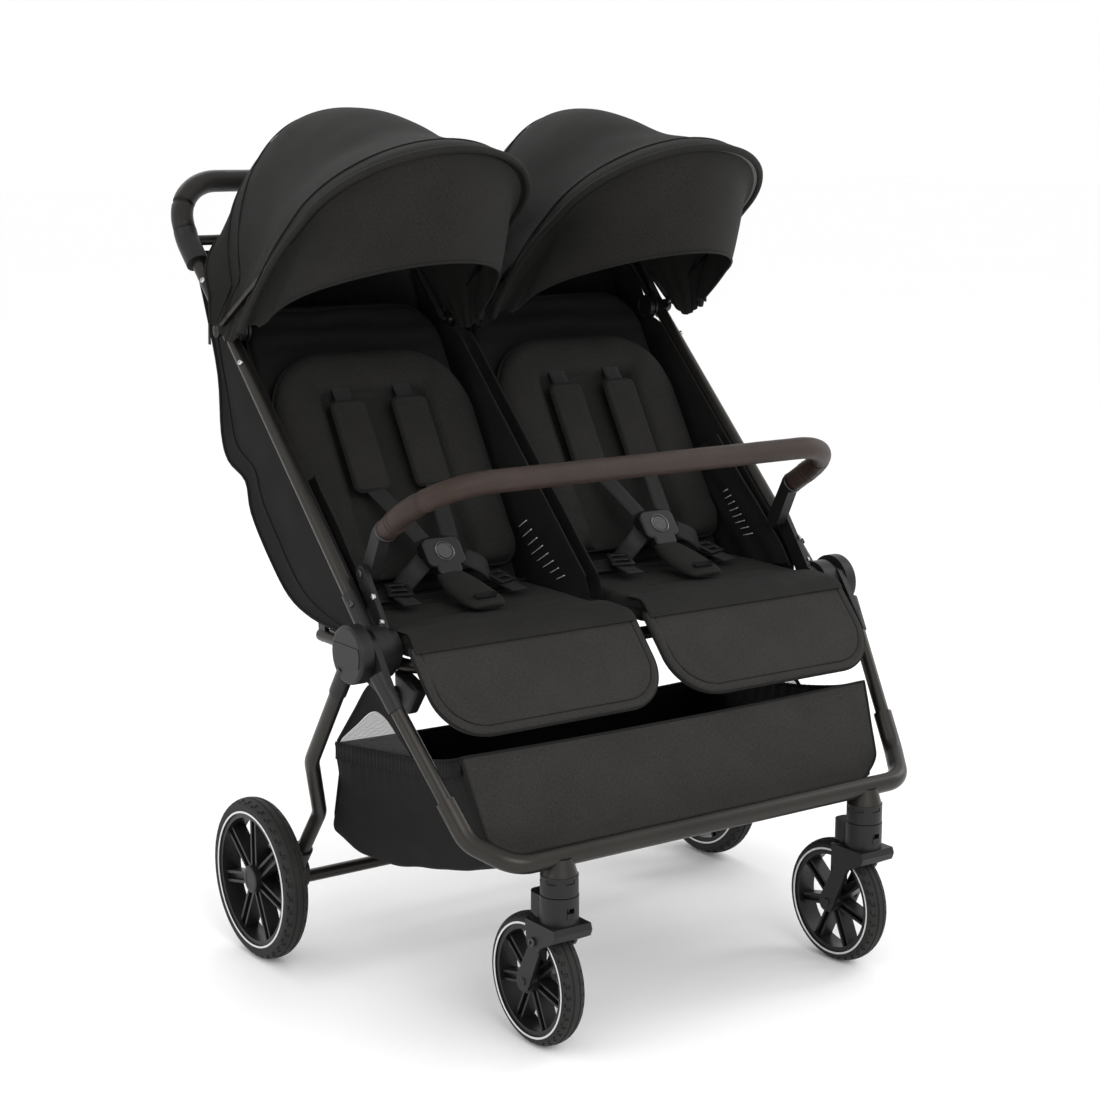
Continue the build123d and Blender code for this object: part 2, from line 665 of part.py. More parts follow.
with BuildPart() as basket:
    with BuildSketch(cross_plane(-BASKET_HALF_WIDTH)):
        with BuildLine():
            Polyline(*basket_outline(0), close=True)
        make_face()
    extrude(amount=2 * BASKET_HALF_WIDTH)
    with BuildSketch(cross_plane(-BASKET_HALF_WIDTH + BASKET_WALL)):
        with BuildLine():
            Polyline(*basket_outline(BASKET_WALL), close=True)
        make_face()
    extrude(amount=2 * BASKET_HALF_WIDTH - 2 * BASKET_WALL, mode=Mode.SUBTRACT)
    for side in (-1, 1):
        with BuildSketch(side_slab(side, BASKET_HALF_WIDTH - BASKET_WALL, BASKET_HALF_WIDTH)):
            with BuildLine():
                Polyline(
                    (-150, 321.5),
                    (-100, 326),
                    (-42, SEAT_RAIL_Z),
                    (-14, SEAT_RAIL_Z),
                    (20, 312),
                    (119.5, 283.5),
                    (60, 260),
                    (-100, 270),
                    close=True,
                )
            make_face()
        extrude(amount=BASKET_WALL)
finish(basket, "basket")

with BuildPart() as basket_front_panel:
    with BuildSketch(Plane(origin=PANEL_LOW, x_dir=(1, 0, 0), z_dir=PANEL_FACE)):
        height = (PANEL_TOP - PANEL_LOW).length
        with BuildLine():
            Polyline((-262, 0), (262, 0), (292, 32), (302, height), (-302, height), (-292, 32), close=True)
        make_face()
    extrude(amount=PANEL_THICKNESS)
finish(basket_front_panel, "basket_front_panel")

# Rear legs: from the hub discs down to the axle housings, cranked inwards
REAR_ANGLE = degrees(atan2(REAR_WHEEL_RADIUS - HUB_Z, REAR_AXLE_Y - HUB_Y))
REAR_REACH = sqrt((REAR_WHEEL_RADIUS - HUB_Z) ** 2 + (REAR_AXLE_Y - HUB_Y) ** 2)


def rear_point(side, x, reach):
    """A point on a rear leg, reach from the hub towards the axle."""
    y, z = ray(REAR_ANGLE, reach)
    return (side * x, y, z)


def rear_reach(z):
    return (HUB_Z - z) / -sin(radians(REAR_ANGLE))


LEG_START = 31.0
LEG_END = REAR_REACH - 9.5
with BuildPart() as rear_legs:
    for side in (-1, 1):
        route = [
            rear_point(side, REAR_LEG_TOP_X, LEG_START),
            rear_point(side, REAR_LEG_KNEE_X, rear_reach(REAR_LEG_KNEE_Z)),
            rear_point(side, REAR_LEG_FOOT_X, rear_reach(REAR_LEG_FOOT_Z)),
            rear_point(side, REAR_LEG_FOOT_X, LEG_END),
        ]
        pipe(route, REAR_LEG_BEND, REAR_LEG_TUBE)
finish(rear_legs, "rear_legs")

with BuildPart() as hub_discs:
    for side in (-1, 1):
        outward = Plane(origin=(side * DISC_INNER_X, HUB_Y, HUB_Z), x_dir=(0, 1, 0), z_dir=(side, 0, 0))
        with BuildSketch(outward):
            Circle(HUB_DISC_RADIUS)
        extrude(amount=DISC_LAYER)
        rim = hub_discs.edges().filter_by(GeomType.CIRCLE).sort_by(Axis.X)
        fillet(rim[-1] if side > 0 else rim[0], radius=4)
        face = Plane(origin=(side * HUB_FACE_X, HUB_Y, HUB_Z), x_dir=(0, 1, 0), z_dir=(side, 0, 0))
        with BuildSketch(face):
            Circle(HUB_DISC_RADIUS - 5)
            Rectangle(70, 23, mode=Mode.INTERSECT)
        extrude(amount=0.8)
        knee = Vector(*rear_point(side, REAR_LEG_KNEE_X, rear_reach(REAR_LEG_KNEE_Z)))
        top = Vector(*rear_point(side, REAR_LEG_TOP_X, LEG_START))
        with BuildSketch(Plane(origin=top, z_dir=knee - top).offset(-8)):
            Circle(SLEEVE / 2)
        extrude(amount=42)
        with BuildSketch(Plane(origin=top, z_dir=knee - top)):
            Circle(REAR_LEG_TUBE / 2 + SEATED)
        extrude(amount=60, mode=Mode.SUBTRACT)
        with BuildSketch(side_slab(side, MOUNT_OUT, DISC_INNER_X)):
            with Locations((HUB_Y, HUB_Z)):
                Circle(90)
        extrude(amount=DISC_INNER_X - MOUNT_OUT, mode=Mode.SUBTRACT)
        with BuildSketch(side_slab(side, DISC_INNER_X - 1, HUB_FACE_X - 7)):
            with Locations((HUB_Y, HUB_Z)):
                Circle(HUB_PIN_DIAMETER / 2 + RUNNING)
        extrude(amount=HUB_FACE_X - 6 - DISC_INNER_X, mode=Mode.SUBTRACT)
finish(hub_discs, "hub_discs")

# Rear axle: housings on the legs, the cross tube and the stub axles
HOUSING_IN_X = 294.0
HOUSING_OUT_X = HOUSING_IN_X + AXLE_HOUSING_LENGTH + 2
CROSS_Z = 90.0
WHEEL_X = REAR_TRACK / 2
PIN_ANGLE = 30.0
PIN_CIRCLE = 32.0
BRAKE_PIN = 6.0
PIN_Y, PIN_Z = ray(PIN_ANGLE, PIN_CIRCLE, REAR_AXLE_Y, REAR_WHEEL_RADIUS)
with BuildPart() as axle_housings:
    for side in (-1, 1):
        with BuildSketch(side_slab(side, HOUSING_IN_X, HOUSING_OUT_X)):
            with Locations((REAR_AXLE_Y, REAR_WHEEL_RADIUS)):
                Circle(AXLE_HOUSING_DIAMETER / 2)
            with Locations((REAR_AXLE_Y, CROSS_Z)):
                Circle(12)
            make_hull()
        extrude(amount=HOUSING_OUT_X - HOUSING_IN_X)
        with BuildSketch(side_slab(side, HOUSING_OUT_X - 18, HOUSING_OUT_X)):
            with Locations((REAR_AXLE_Y, REAR_WHEEL_RADIUS), (PIN_Y, PIN_Z)):
                Circle(8)
            make_hull()
        extrude(amount=18)
        low = Vector(*rear_point(side, REAR_LEG_FOOT_X, REAR_REACH))
        high = Vector(*rear_point(side, REAR_LEG_FOOT_X, REAR_REACH - 46))
        with BuildSketch(Plane(origin=low, z_dir=high - low)):
            Circle(12)
        extrude(amount=46)
        with BuildSketch(Plane(origin=low, z_dir=high - low).offset(9)):
            Circle(REAR_LEG_TUBE / 2 + SEATED)
        extrude(amount=60, mode=Mode.SUBTRACT)
        with BuildSketch(side_slab(side, HOUSING_IN_X + 7, HOUSING_OUT_X + 1)):
            with Locations((REAR_AXLE_Y, REAR_WHEEL_RADIUS)):
                Circle(AXLE_DIAMETER / 2 + SEATED)
            with Locations((PIN_Y, PIN_Z)):
                Circle(BRAKE_PIN / 2 + RUNNING)
        extrude(amount=HOUSING_OUT_X - HOUSING_IN_X - 6, mode=Mode.SUBTRACT)
        with BuildSketch(side_slab(side, HOUSING_IN_X - 1, HOUSING_IN_X + 6)):
            with Locations((REAR_AXLE_Y, CROSS_Z)):
                Circle(CROSS_TUBE / 2 + SEATED)
        extrude(amount=7, mode=Mode.SUBTRACT)
finish(axle_housings, "axle_housings")

REAR_HUB_OUT_X = WHEEL_X + 12.5
with BuildPart() as rear_axle:
    rod((-HOUSING_IN_X - 5.9, REAR_AXLE_Y, CROSS_Z), (HOUSING_IN_X + 5.9, REAR_AXLE_Y, CROSS_Z), CROSS_TUBE)
    for side in (-1, 1):
        with BuildSketch(side_slab(side, HOUSING_IN_X + 8, REAR_HUB_OUT_X - 4)):
            with Locations((REAR_AXLE_Y, REAR_WHEEL_RADIUS)):
                Circle(AXLE_DIAMETER / 2)
        extrude(amount=REAR_HUB_OUT_X - HOUSING_IN_X - 12)
finish(rear_axle, "rear_axle")

# Brake: a foot pedal on the cross tube and a sliding pin beside each rear wheel
PEDAL_IN_X = 232.0
PEDAL_OUT_X = 290.0
PIN_TRAVEL = 5.0
with BuildPart() as brake_pedal:
    with BuildSketch(cross_plane(PEDAL_IN_X)):
        with Locations((REAR_AXLE_Y, CROSS_Z)):
            Circle(12.5)
        with Locations((REAR_AXLE_Y + 34, CROSS_Z + 6)):
            Circle(5)
        make_hull()
    extrude(amount=PEDAL_OUT_X - PEDAL_IN_X)
    with BuildSketch(cross_plane(PEDAL_IN_X - 8)):
        with Locations((REAR_AXLE_Y + 50, CROSS_Z + 8)):
            RectangleRounded(44, 9, 4)
    extrude(amount=PEDAL_OUT_X - PEDAL_IN_X + 8)
    with BuildSketch(cross_plane(PEDAL_IN_X - 9)):
        with Locations((REAR_AXLE_Y, CROSS_Z)):
            Circle(CROSS_TUBE / 2 + RUNNING)
    extrude(amount=PEDAL_OUT_X - PEDAL_IN_X + 20, mode=Mode.SUBTRACT)
finish(brake_pedal, "brake_pedal")

FLANGE_IN_X = WHEEL_X - 12.5
for name, side in SIDES:
    with BuildPart() as brake_pin:
        with BuildSketch(side_slab(side, HOUSING_OUT_X - 24, FLANGE_IN_X - 1.5)):
            with Locations((PIN_Y, PIN_Z)):
                Circle(BRAKE_PIN / 2)
        extrude(amount=FLANGE_IN_X - 1.5 - HOUSING_OUT_X + 24)
        head_out = HOUSING_OUT_X - 18 - PIN_TRAVEL - CLEAR
        with BuildSketch(side_slab(side, head_out - 3, head_out)):
            with Locations((PIN_Y, PIN_Z)):
                Circle(5)
        extrude(amount=3)
    finish(brake_pin, f"brake_pin_{name}")


# Wheels: a tyre with a rounded tread on a rim with seven double spokes
def make_tyre(centre, radius, width, wall, name):
    half, inner, shoulder = width / 2, radius - wall, wall * 0.42
    with BuildPart() as tyre:
        with BuildSketch(Plane(origin=centre, x_dir=(1, 0, 0), z_dir=(0, -1, 0))):
            with BuildLine():
                Line((-half + 2, inner), (-half, inner + 3))
                Line((-half, inner + 3), (-half, radius - shoulder))
                ThreePointArc((-half, radius - shoulder), (0, radius), (half, radius - shoulder))
                Line((half, radius - shoulder), (half, inner + 3))
                Line((half, inner + 3), (half - 2, inner))
                Line((half - 2, inner), (-half + 2, inner))
            make_face()
        revolve(axis=Axis(centre, (1, 0, 0)))
    finish(tyre, name)


def make_rim(centre, outer, width, hub, hub_span, bore, spoke, brake_side, name):
    """A rim about an axle along X. hub_span is the hub's inner and outer x from the
    centre, spoke the rib's width and half gap, brake_side the flange's side or 0."""
    x, y, z = centre
    with BuildPart() as rim:
        with BuildSketch(cross_plane(x - width / 2, y, z)):
            Circle(outer - SEATED)
            Circle(outer - 7, mode=Mode.SUBTRACT)
        extrude(amount=width)
        with BuildSketch(cross_plane(x + hub_span[0], y, z)):
            Circle(hub)
        extrude(amount=hub_span[1] - hub_span[0])
        with BuildSketch(cross_plane(x - width / 2 + 4, y, z)):
            middle = (hub + outer - 9) / 2
            with PolarLocations(0.001, 7, start_angle=90):
                with Locations((middle, spoke[1]), (middle, -spoke[1])):
                    Rectangle(outer - hub, spoke[0])
        extrude(amount=width - 8)
        with BuildSketch(cross_plane(x - 3, y, z)):
            with PolarLocations(0.001, 7, start_angle=90):
                with Locations((middle, 0)):
                    Rectangle(outer - hub, 2 * spoke[1])
        extrude(amount=6)
        if brake_side:
            with BuildSketch(cross_plane(x + brake_side * 11 - 1.5, y, z)):
                Circle(PIN_CIRCLE + 8)
                with PolarLocations(PIN_CIRCLE, 12):
                    Circle(BRAKE_PIN / 2 + 1.2, mode=Mode.SUBTRACT)
            extrude(amount=3)
        low, high = bore[1]
        with BuildSketch(cross_plane(x + low, y, z)):
            Circle(bore[0] / 2 + RUNNING)
        extrude(amount=high - low, mode=Mode.SUBTRACT)
    finish(rim, name)


for name, side in SIDES:
    centre = (side * WHEEL_X, REAR_AXLE_Y, REAR_WHEEL_RADIUS)
    make_tyre(centre, REAR_WHEEL_RADIUS, 31, 17, f"rear_tyre_{name}")
    hub_span = (-13.5, 12.5) if side > 0 else (-12.5, 13.5)
    bore = (-14.5, 8.8) if side > 0 else (-8.8, 14.5)
    make_rim(
        centre,
        REAR_WHEEL_RADIUS - 17,
        26,
        17.5,
        hub_span,
        (AXLE_DIAMETER, bore),
        (3.4, 5.6),
        -side,
        f"rear_rim_{name}",
    )

# Casters: swivelling yoke, sprung fork arm, swivel lock and front wheel
YOKE_HALF = 25.7
CHEEK = 4.6
FORK_PLATE = 4.0
FORK_BOLT_Y = STEM_Y + 13.4
FORK_BOLT_Z = 133.5
FORK_STUB = 8.0
FRONT_AXLE = 8.0
HOUSING_TOP_Z = SOCKET_LOW_Z - 0.9
HOUSING_LOW_Z = 152.0
FORK_IN = YOKE_HALF - CHEEK - CLEAR - FORK_PLATE
for name, side in SIDES:
    stem_x = side * STEM_X
    with BuildPart() as caster_yoke:
        with BuildSketch(Plane.XY.offset(HOUSING_LOW_Z)):
            with Locations((stem_x, STEM_Y)):
                Circle(HOUSING_RADIUS)
        extrude(amount=HOUSING_TOP_Z - HOUSING_LOW_Z)
        with BuildSketch(Plane.XY.offset(HOUSING_TOP_Z)):
            with Locations((stem_x, STEM_Y)):
                Circle(STEM_DIAMETER / 2)
        extrude(amount=SOCKET_TOP_Z + 6 - HOUSING_TOP_Z)
        with BuildSketch(cross_plane(stem_x - YOKE_HALF)):
            with BuildLine():
                Polyline(
                    (STEM_Y - 21, 166),
                    (STEM_Y - 27, 150),
                    (STEM_Y - 24, 142),
                    (FORK_BOLT_Y - 13, FORK_BOLT_Z - 4),
                )
                ThreePointArc(
                    (FORK_BOLT_Y - 13, FORK_BOLT_Z - 4),
                    (FORK_BOLT_Y + 4, FORK_BOLT_Z - 13),
                    (FORK_BOLT_Y + 13.6, FORK_BOLT_Z),
                )
                Polyline(
                    (FORK_BOLT_Y + 13.6, FORK_BOLT_Z),
                    (STEM_Y + 31, 166),
                    (STEM_Y - 21, 166),
                )
            make_face()
        extrude(amount=2 * YOKE_HALF)
        with BuildSketch(Plane.XY.offset(160)):
            with Locations((stem_x, STEM_Y + 26)):
                RectangleRounded(28, 34, 12)
        extrude(amount=24)
        # room for the wheel and, in front of the housing, above the bridge
        with BuildSketch(cross_plane(stem_x - YOKE_HALF + CHEEK)):
            with Locations((FRONT_AXLE_Y, FRONT_WHEEL_RADIUS)):
                Circle(FRONT_WHEEL_RADIUS + 3.2)
            with Locations((FRONT_AXLE_Y + 6, FRONT_WHEEL_RADIUS + 4)):
                Circle(FRONT_WHEEL_RADIUS + 3.2)
            make_hull()
        extrude(amount=2 * (YOKE_HALF - CHEEK), mode=Mode.SUBTRACT)
        with BuildSketch(Plane.XY.offset(157)):
            with Locations((stem_x, STEM_Y + 5)):
                Rectangle(60, 80)
            with Locations((stem_x, STEM_Y)):
                Circle(HOUSING_RADIUS, mode=Mode.SUBTRACT)
            with Locations((stem_x, STEM_Y + 26)):
                RectangleRounded(28, 34, 12, mode=Mode.SUBTRACT)
        extrude(amount=40, mode=Mode.SUBTRACT)
        # window and channel of the swivel lock
        with BuildSketch(Plane.XY.offset(165)):
            with Locations((stem_x, STEM_Y - 18)):
                Rectangle(10, 9)
        extrude(amount=12, mode=Mode.SUBTRACT)
        with BuildSketch(Plane.XY.offset(166)):
            with Locations((stem_x, STEM_Y - LOCK_REACH)):
                Circle(LOCK_PIN / 2 + RUNNING)
        extrude(amount=30, mode=Mode.SUBTRACT)
        # inward stubs for the fork arm
        for low in (-YOKE_HALF + CHEEK - 0.5, YOKE_HALF - CHEEK - FORK_PLATE - CLEAR + 0.3):
            with BuildSketch(cross_plane(stem_x + low)):
                with Locations((FORK_BOLT_Y, FORK_BOLT_Z)):
                    Circle(FORK_STUB / 2)
            extrude(amount=FORK_PLATE + 0.5)
    finish(caster_yoke, f"caster_yoke_{name}")

    with BuildPart() as swivel_lock:
        with BuildSketch(Plane.XY.offset(165 + CLEAR)):
            with Locations((stem_x, STEM_Y - 18)):
                Rectangle(10 - 2 * CLEAR, 9 - 2 * CLEAR)
        extrude(amount=6)
        with BuildSketch(Plane.XY.offset(168)):
            with Locations((stem_x, STEM_Y - LOCK_REACH)):
                Circle(LOCK_PIN / 2)
        extrude(amount=HOUSING_TOP_Z - 168.2)
    finish(swivel_lock, f"swivel_lock_{name}")

    with BuildPart() as fork_arm:
        for low in (-FORK_IN - FORK_PLATE, FORK_IN):
            with BuildSketch(cross_plane(stem_x + low)):
                with Locations((FORK_BOLT_Y, FORK_BOLT_Z)):
                    Circle(10)
                with Locations((FRONT_AXLE_Y, FRONT_WHEEL_RADIUS)):
                    Circle(12)
                make_hull()
                with Locations((FORK_BOLT_Y, FORK_BOLT_Z)):
                    Circle(FORK_STUB / 2 + RUNNING, mode=Mode.SUBTRACT)
            extrude(amount=FORK_PLATE)
        with BuildSketch(cross_plane(stem_x - FORK_IN - FORK_PLATE - 2.2)):
            with Locations((FRONT_AXLE_Y, FRONT_WHEEL_RADIUS)):
                Circle(FRONT_AXLE / 2)
        extrude(amount=2 * (FORK_IN + FORK_PLATE) + 4.4)
    finish(fork_arm, f"fork_arm_{name}")

    centre = (stem_x, FRONT_AXLE_Y, FRONT_WHEEL_RADIUS)
    make_tyre(centre, FRONT_WHEEL_RADIUS, 30, 11.5, f"front_tyre_{name}")
    hub_reach = FORK_IN - CLEAR
    make_rim(
        centre,
        FRONT_WHEEL_RADIUS - 11.5,
        25,
        14,
        (-hub_reach, hub_reach),
        (FRONT_AXLE, (-hub_reach - 1, hub_reach + 1)),
        (3.0, 4.6),
        0,
        f"front_rim_{name}",
    )


# Push frame: one bent tube with a cross bar and a middle post for the canopies
HANDLE_START = 14.0
COLLAR_LENGTH = 38.0
POST_TUBE = 14.0
PUSH_DIRECTION = Vector(0, cos(radians(PUSH_ANGLE)), sin(radians(PUSH_ANGLE)))
HANDLE_DIRECTION = Vector(0, HANDLE_Y - COLLAR_Y, HANDLE_Z - COLLAR_Z).normalized()
PUSH_START = 33.0


def push_corners(side):
    low = Vector(side * PUSH_X, *ray(PUSH_ANGLE, PUSH_START))
    return [low, Vector(side * PUSH_X, COLLAR_Y, COLLAR_Z), Vector(side * PUSH_X, HANDLE_Y, HANDLE_Z)]


with BuildPart() as push_frame:
    pipe(push_corners(1) + push_corners(-1)[::-1], HANDLE_CORNER_RADIUS, PUSH_TUBE)
    rod((-PUSH_X, COLLAR_Y, COLLAR_Z), (PUSH_X, COLLAR_Y, COLLAR_Z), CROSSBAR_TUBE)
    post_top = Vector(0, COLLAR_Y, COLLAR_Z)
    post_low = Vector(0, CANOPY_PIVOT_Y, CANOPY_PIVOT_Z) + PUSH_DIRECTION * 9
    rod(tuple(post_top), tuple(post_low), POST_TUBE)
finish(push_frame, "push_frame")

with BuildPart() as handle_grip:
    start = push_corners(1)[1] + HANDLE_DIRECTION * HANDLE_START
    other = Vector(-start.X, start.Y, start.Z)
    pipe(
        [start, push_corners(1)[2], push_corners(-1)[2], other],
        HANDLE_CORNER_RADIUS,
        GRIP_DIAMETER,
        PUSH_TUBE + 2 * SEATED,
    )
finish(handle_grip, "handle_grip")

with BuildPart() as handle_collars:
    for side in (-1, 1):
        corner = push_corners(side)[1]
        route = [corner - PUSH_DIRECTION * COLLAR_LENGTH, corner, corner + HANDLE_DIRECTION * (HANDLE_START - 0.1)]
        pipe(route, HANDLE_CORNER_RADIUS, GRIP_DIAMETER + 1, PUSH_TUBE + 2 * SEATED)
    with BuildSketch(cross_plane(-PUSH_X)):
        with Locations((COLLAR_Y, COLLAR_Z)):
            Circle(CROSSBAR_TUBE / 2 + SEATED)
    extrude(amount=2 * PUSH_X, mode=Mode.SUBTRACT)
finish(handle_collars, "handle_collars")

# Fold release: a slider on a saddle under the middle of the handle
RELEASE_TRAVEL = 8.0
with BuildPart() as fold_housing:
    with BuildSketch(cross_plane(-36, HANDLE_Y, HANDLE_Z)):
        Circle(GRIP_DIAMETER / 2 + 5)
        with Locations((0, -14)):
            RectangleRounded(30, 22, 5)
        Circle(GRIP_DIAMETER / 2 + SEATED, mode=Mode.SUBTRACT)
    extrude(amount=72)
    with BuildSketch(cross_plane(-22, HANDLE_Y, HANDLE_Z)):
        with Locations((0, -22)):
            Rectangle(16, 12)
    extrude(amount=44, mode=Mode.SUBTRACT)
finish(fold_housing, "fold_housing")

with BuildPart() as fold_button:
    with BuildSketch(cross_plane(-22 + CLEAR, HANDLE_Y, HANDLE_Z)):
        with Locations((0, -22.5)):
            RectangleRounded(16 - 2 * CLEAR, 12, 2)
    extrude(amount=44 - 2 * CLEAR - RELEASE_TRAVEL)
finish(fold_button, "fold_button")

# Sleeves at the foot of the push frame, with the bosses on the hub pins
PUSH_SLEEVE_LENGTH = 46.0
with BuildPart() as push_sleeves:
    for side in (-1, 1):
        with BuildSketch(side_slab(side, PUSH_LAYER_IN, PUSH_LAYER_OUT)):
            with Locations((HUB_Y, HUB_Z)):
                Circle(29)
        extrude(amount=PUSH_LAYER)
        low = push_corners(side)[0]
        with BuildSketch(Plane(origin=low - PUSH_DIRECTION * 12, z_dir=PUSH_DIRECTION)):
            Circle(10)
        extrude(amount=PUSH_SLEEVE_LENGTH + 12)
        with BuildSketch(Plane(origin=low, z_dir=PUSH_DIRECTION)):
            Circle(PUSH_TUBE / 2 + SEATED)
        extrude(amount=PUSH_SLEEVE_LENGTH + 10, mode=Mode.SUBTRACT)
        with BuildSketch(side_slab(side, PUSH_LAYER_IN - 1, PUSH_LAYER_OUT + 1)):
            with Locations((HUB_Y, HUB_Z)):
                Circle(HUB_PIN_DIAMETER / 2 + RUNNING)
        extrude(amount=PUSH_LAYER + 2, mode=Mode.SUBTRACT)
finish(push_sleeves, "push_sleeves")

# Canopies. Sections lie in half planes through the pivot axis. Their angle is
# measured from the front upwards, and the reach is how far the crown stands off.
# Each station gives the angle, the reach, the crown's height and the sides' lean.
DOME = [
    (38.4, 367, 139, 24),
    (52, 306, 155, 28),
    (66, 277, 166, 33),
    (80, 268, 186, 37),
    (94, 264, 200, 37),
    (110, 226, 172, 30),
    (124, 184, 130, 14),
]
EXTENSION = [(35.6, 352, 170, 25), (28, 318, 205, 16), (20, 285, 228, 8)]
SIDE_START = 12.0
CANOPY_PIN = 8.0
BOW_WIDTH = 6.0
BOW_THICK = 5.0
BOW_LEG_X = CANOPY_HALF_WIDTH - CANOPY_CLOTH - CLEAR
EXTENSION_HALF_WIDTH = BOW_LEG_X - BOW_WIDTH - 7 * CLEAR


def bow_plane(side, angle):
    """The half plane of a bow, with local x across and local y away from the pivot."""
    a = radians(angle)
    origin = (side * CANOPY_X, CANOPY_PIVOT_Y, CANOPY_PIVOT_Z)
    return Plane(origin=origin, x_dir=(1, 0, 0), z_dir=(0, -sin(a), -cos(a)))


def arch(side, half, station, inset, start):
    """An arch shaped face: sides that lean in, with an elliptic crown over them."""
    angle, reach, crown, lean = station
    shoulder = reach - crown
    foot, top = half - inset, half - inset - lean
    with BuildSketch(bow_plane(side, angle), mode=Mode.PRIVATE) as section:
        with BuildLine():
            Line((-foot, start), (-top, shoulder))
            EllipticalCenterArc(
                (0, shoulder),
                top,
                crown - inset,
                start_angle=180,
                arc_size=-180,
            )
            Line((top, shoulder), (foot, start))
            Line((foot, start), (-foot, start))
        make_face()
    return section.sketch.face()


def turned(station, step):
    """The same station turned by a few degrees."""
    return (station[0] + step, *station[1:])


def cloth_faces(side, half, stations):
    """The outer and inner faces of a cloth tunnel, open at both ends and below."""
    outer = [arch(side, half, station, 0, SIDE_START) for station in stations]
    step = 2 if stations[-1][0] > stations[0][0] else -2
    longer = [turned(stations[0], -step), *stations, turned(stations[-1], step)]
    inner = [arch(side, half, station, CANOPY_CLOTH, SIDE_START - 8) for station in longer]
    return outer, inner


for name, side in SIDES:
    with BuildPart() as canopy_shell:
        outer, inner = cloth_faces(side, CANOPY_HALF_WIDTH, DOME)
        loft(outer, ruled=True)
        loft(inner, ruled=True, mode=Mode.SUBTRACT)
    finish(canopy_shell, f"canopy_shell_{name}")

    with BuildPart() as canopy_extension:
        outer, inner = cloth_faces(side, EXTENSION_HALF_WIDTH, EXTENSION)
        loft(outer, ruled=True)
        loft(inner, ruled=True, mode=Mode.SUBTRACT)
    finish(canopy_extension, f"canopy_extension_{name}")

    with BuildPart() as canopy_bow:
        rim_station = (RIM_ANGLE, RIM_REACH, RIM_CROWN, RIM_LEAN)
        outline = arch(side, BOW_LEG_X, rim_station, 0, 0)
        hole = arch(side, BOW_LEG_X, rim_station, BOW_WIDTH, -5)
        extrude(outline, amount=BOW_THICK / 2, both=True)
        extrude(hole, amount=BOW_THICK / 2 + 1, both=True, mode=Mode.SUBTRACT)
        for low in (-BOW_LEG_X, BOW_LEG_X - BOW_WIDTH):
            with BuildSketch(cross_plane(side * CANOPY_X + low, CANOPY_PIVOT_Y, CANOPY_PIVOT_Z)):
                Circle(8.5)
            extrude(amount=BOW_WIDTH)
            with BuildSketch(cross_plane(side * CANOPY_X + low - 1, CANOPY_PIVOT_Y, CANOPY_PIVOT_Z)):
                Circle(CANOPY_PIN / 2 + RUNNING)
            extrude(amount=BOW_WIDTH + 2, mode=Mode.SUBTRACT)
    finish(canopy_bow, f"canopy_bow_{name}")

# Canopy mounts: clamps on the push tubes and a block on the middle post, with the
# pins of the front bows and the fixed rear bows
REAR_LEG_X = BOW_LEG_X - BOW_WIDTH - 0.7
BLOCK_HALF = CANOPY_X - CANOPY_HALF_WIDTH - 0.5
CLAMP_RADIUS = 10.0
CLAMP_LENGTH = 28.0
with BuildPart() as canopy_mounts:
    with BuildSketch(cross_plane(-BLOCK_HALF, CANOPY_PIVOT_Y, CANOPY_PIVOT_Z)):
        Circle(13)
    extrude(amount=2 * BLOCK_HALF)
    inner_pin = CANOPY_X - REAR_LEG_X + BOW_WIDTH
    with BuildSketch(cross_plane(-inner_pin, CANOPY_PIVOT_Y, CANOPY_PIVOT_Z)):
        Circle(CANOPY_PIN / 2)
    extrude(amount=2 * inner_pin)
    for side in (-1, 1):
        rear_station = (REAR_BOW_ANGLE, REAR_BOW_REACH, REAR_BOW_CROWN, REAR_BOW_LEAN)
        outline = arch(side, REAR_LEG_X, rear_station, 0, 0)
        hole = arch(side, REAR_LEG_X, rear_station, BOW_WIDTH, -5)
        with BuildPart(mode=Mode.PRIVATE) as rear_bow:
            extrude(outline, amount=BOW_THICK / 2, both=True)
            extrude(hole, amount=BOW_THICK, both=True, mode=Mode.SUBTRACT)
        add(rear_bow.part)
        clamp = Vector(side * PUSH_X, CANOPY_PIVOT_Y, CANOPY_PIVOT_Z)
        with BuildSketch(Plane(origin=clamp - PUSH_DIRECTION * CLAMP_LENGTH / 2, z_dir=PUSH_DIRECTION)):
            Circle(CLAMP_RADIUS)
        extrude(amount=CLAMP_LENGTH)
        pin_end = CANOPY_X + BOW_LEG_X
        with BuildSketch(side_slab(side, PUSH_X, pin_end)):
            with Locations((CANOPY_PIVOT_Y, CANOPY_PIVOT_Z)):
                Circle(CANOPY_PIN / 2)
        extrude(amount=pin_end - PUSH_X)
        with BuildSketch(Plane(origin=clamp - PUSH_DIRECTION * 40, z_dir=PUSH_DIRECTION)):
            Circle(PUSH_TUBE / 2 + SEATED)
        extrude(amount=80, mode=Mode.SUBTRACT)
    with BuildSketch(Plane(origin=post_low, z_dir=PUSH_DIRECTION)):
        Circle(POST_TUBE / 2 + SEATED)
    extrude(amount=60, mode=Mode.SUBTRACT)
finish(canopy_mounts, "canopy_mounts")

# Seat shells: the cloth sides and back, hung along the push tubes from the cross bar
SHELL_CLOTH = 3.0
SHELL_OUT_X = PUSH_X - PUSH_TUBE / 2 - CLEAR
SHELL_IN_X = POST_TUBE / 2 + CLEAR
SHELL_BACK = [(413, 864), (362, 760), (338, 650), (300, 604), (268, 560), (190, 505), (172, 486)]


def beside_push(reach, drop=0.0):
    """A point on the push tube's axis, reach from the hub, or drop below it."""
    y, z = ray(PUSH_ANGLE, reach)
    return (y + drop * sin(radians(PUSH_ANGLE)), z - drop * cos(radians(PUSH_ANGLE)))


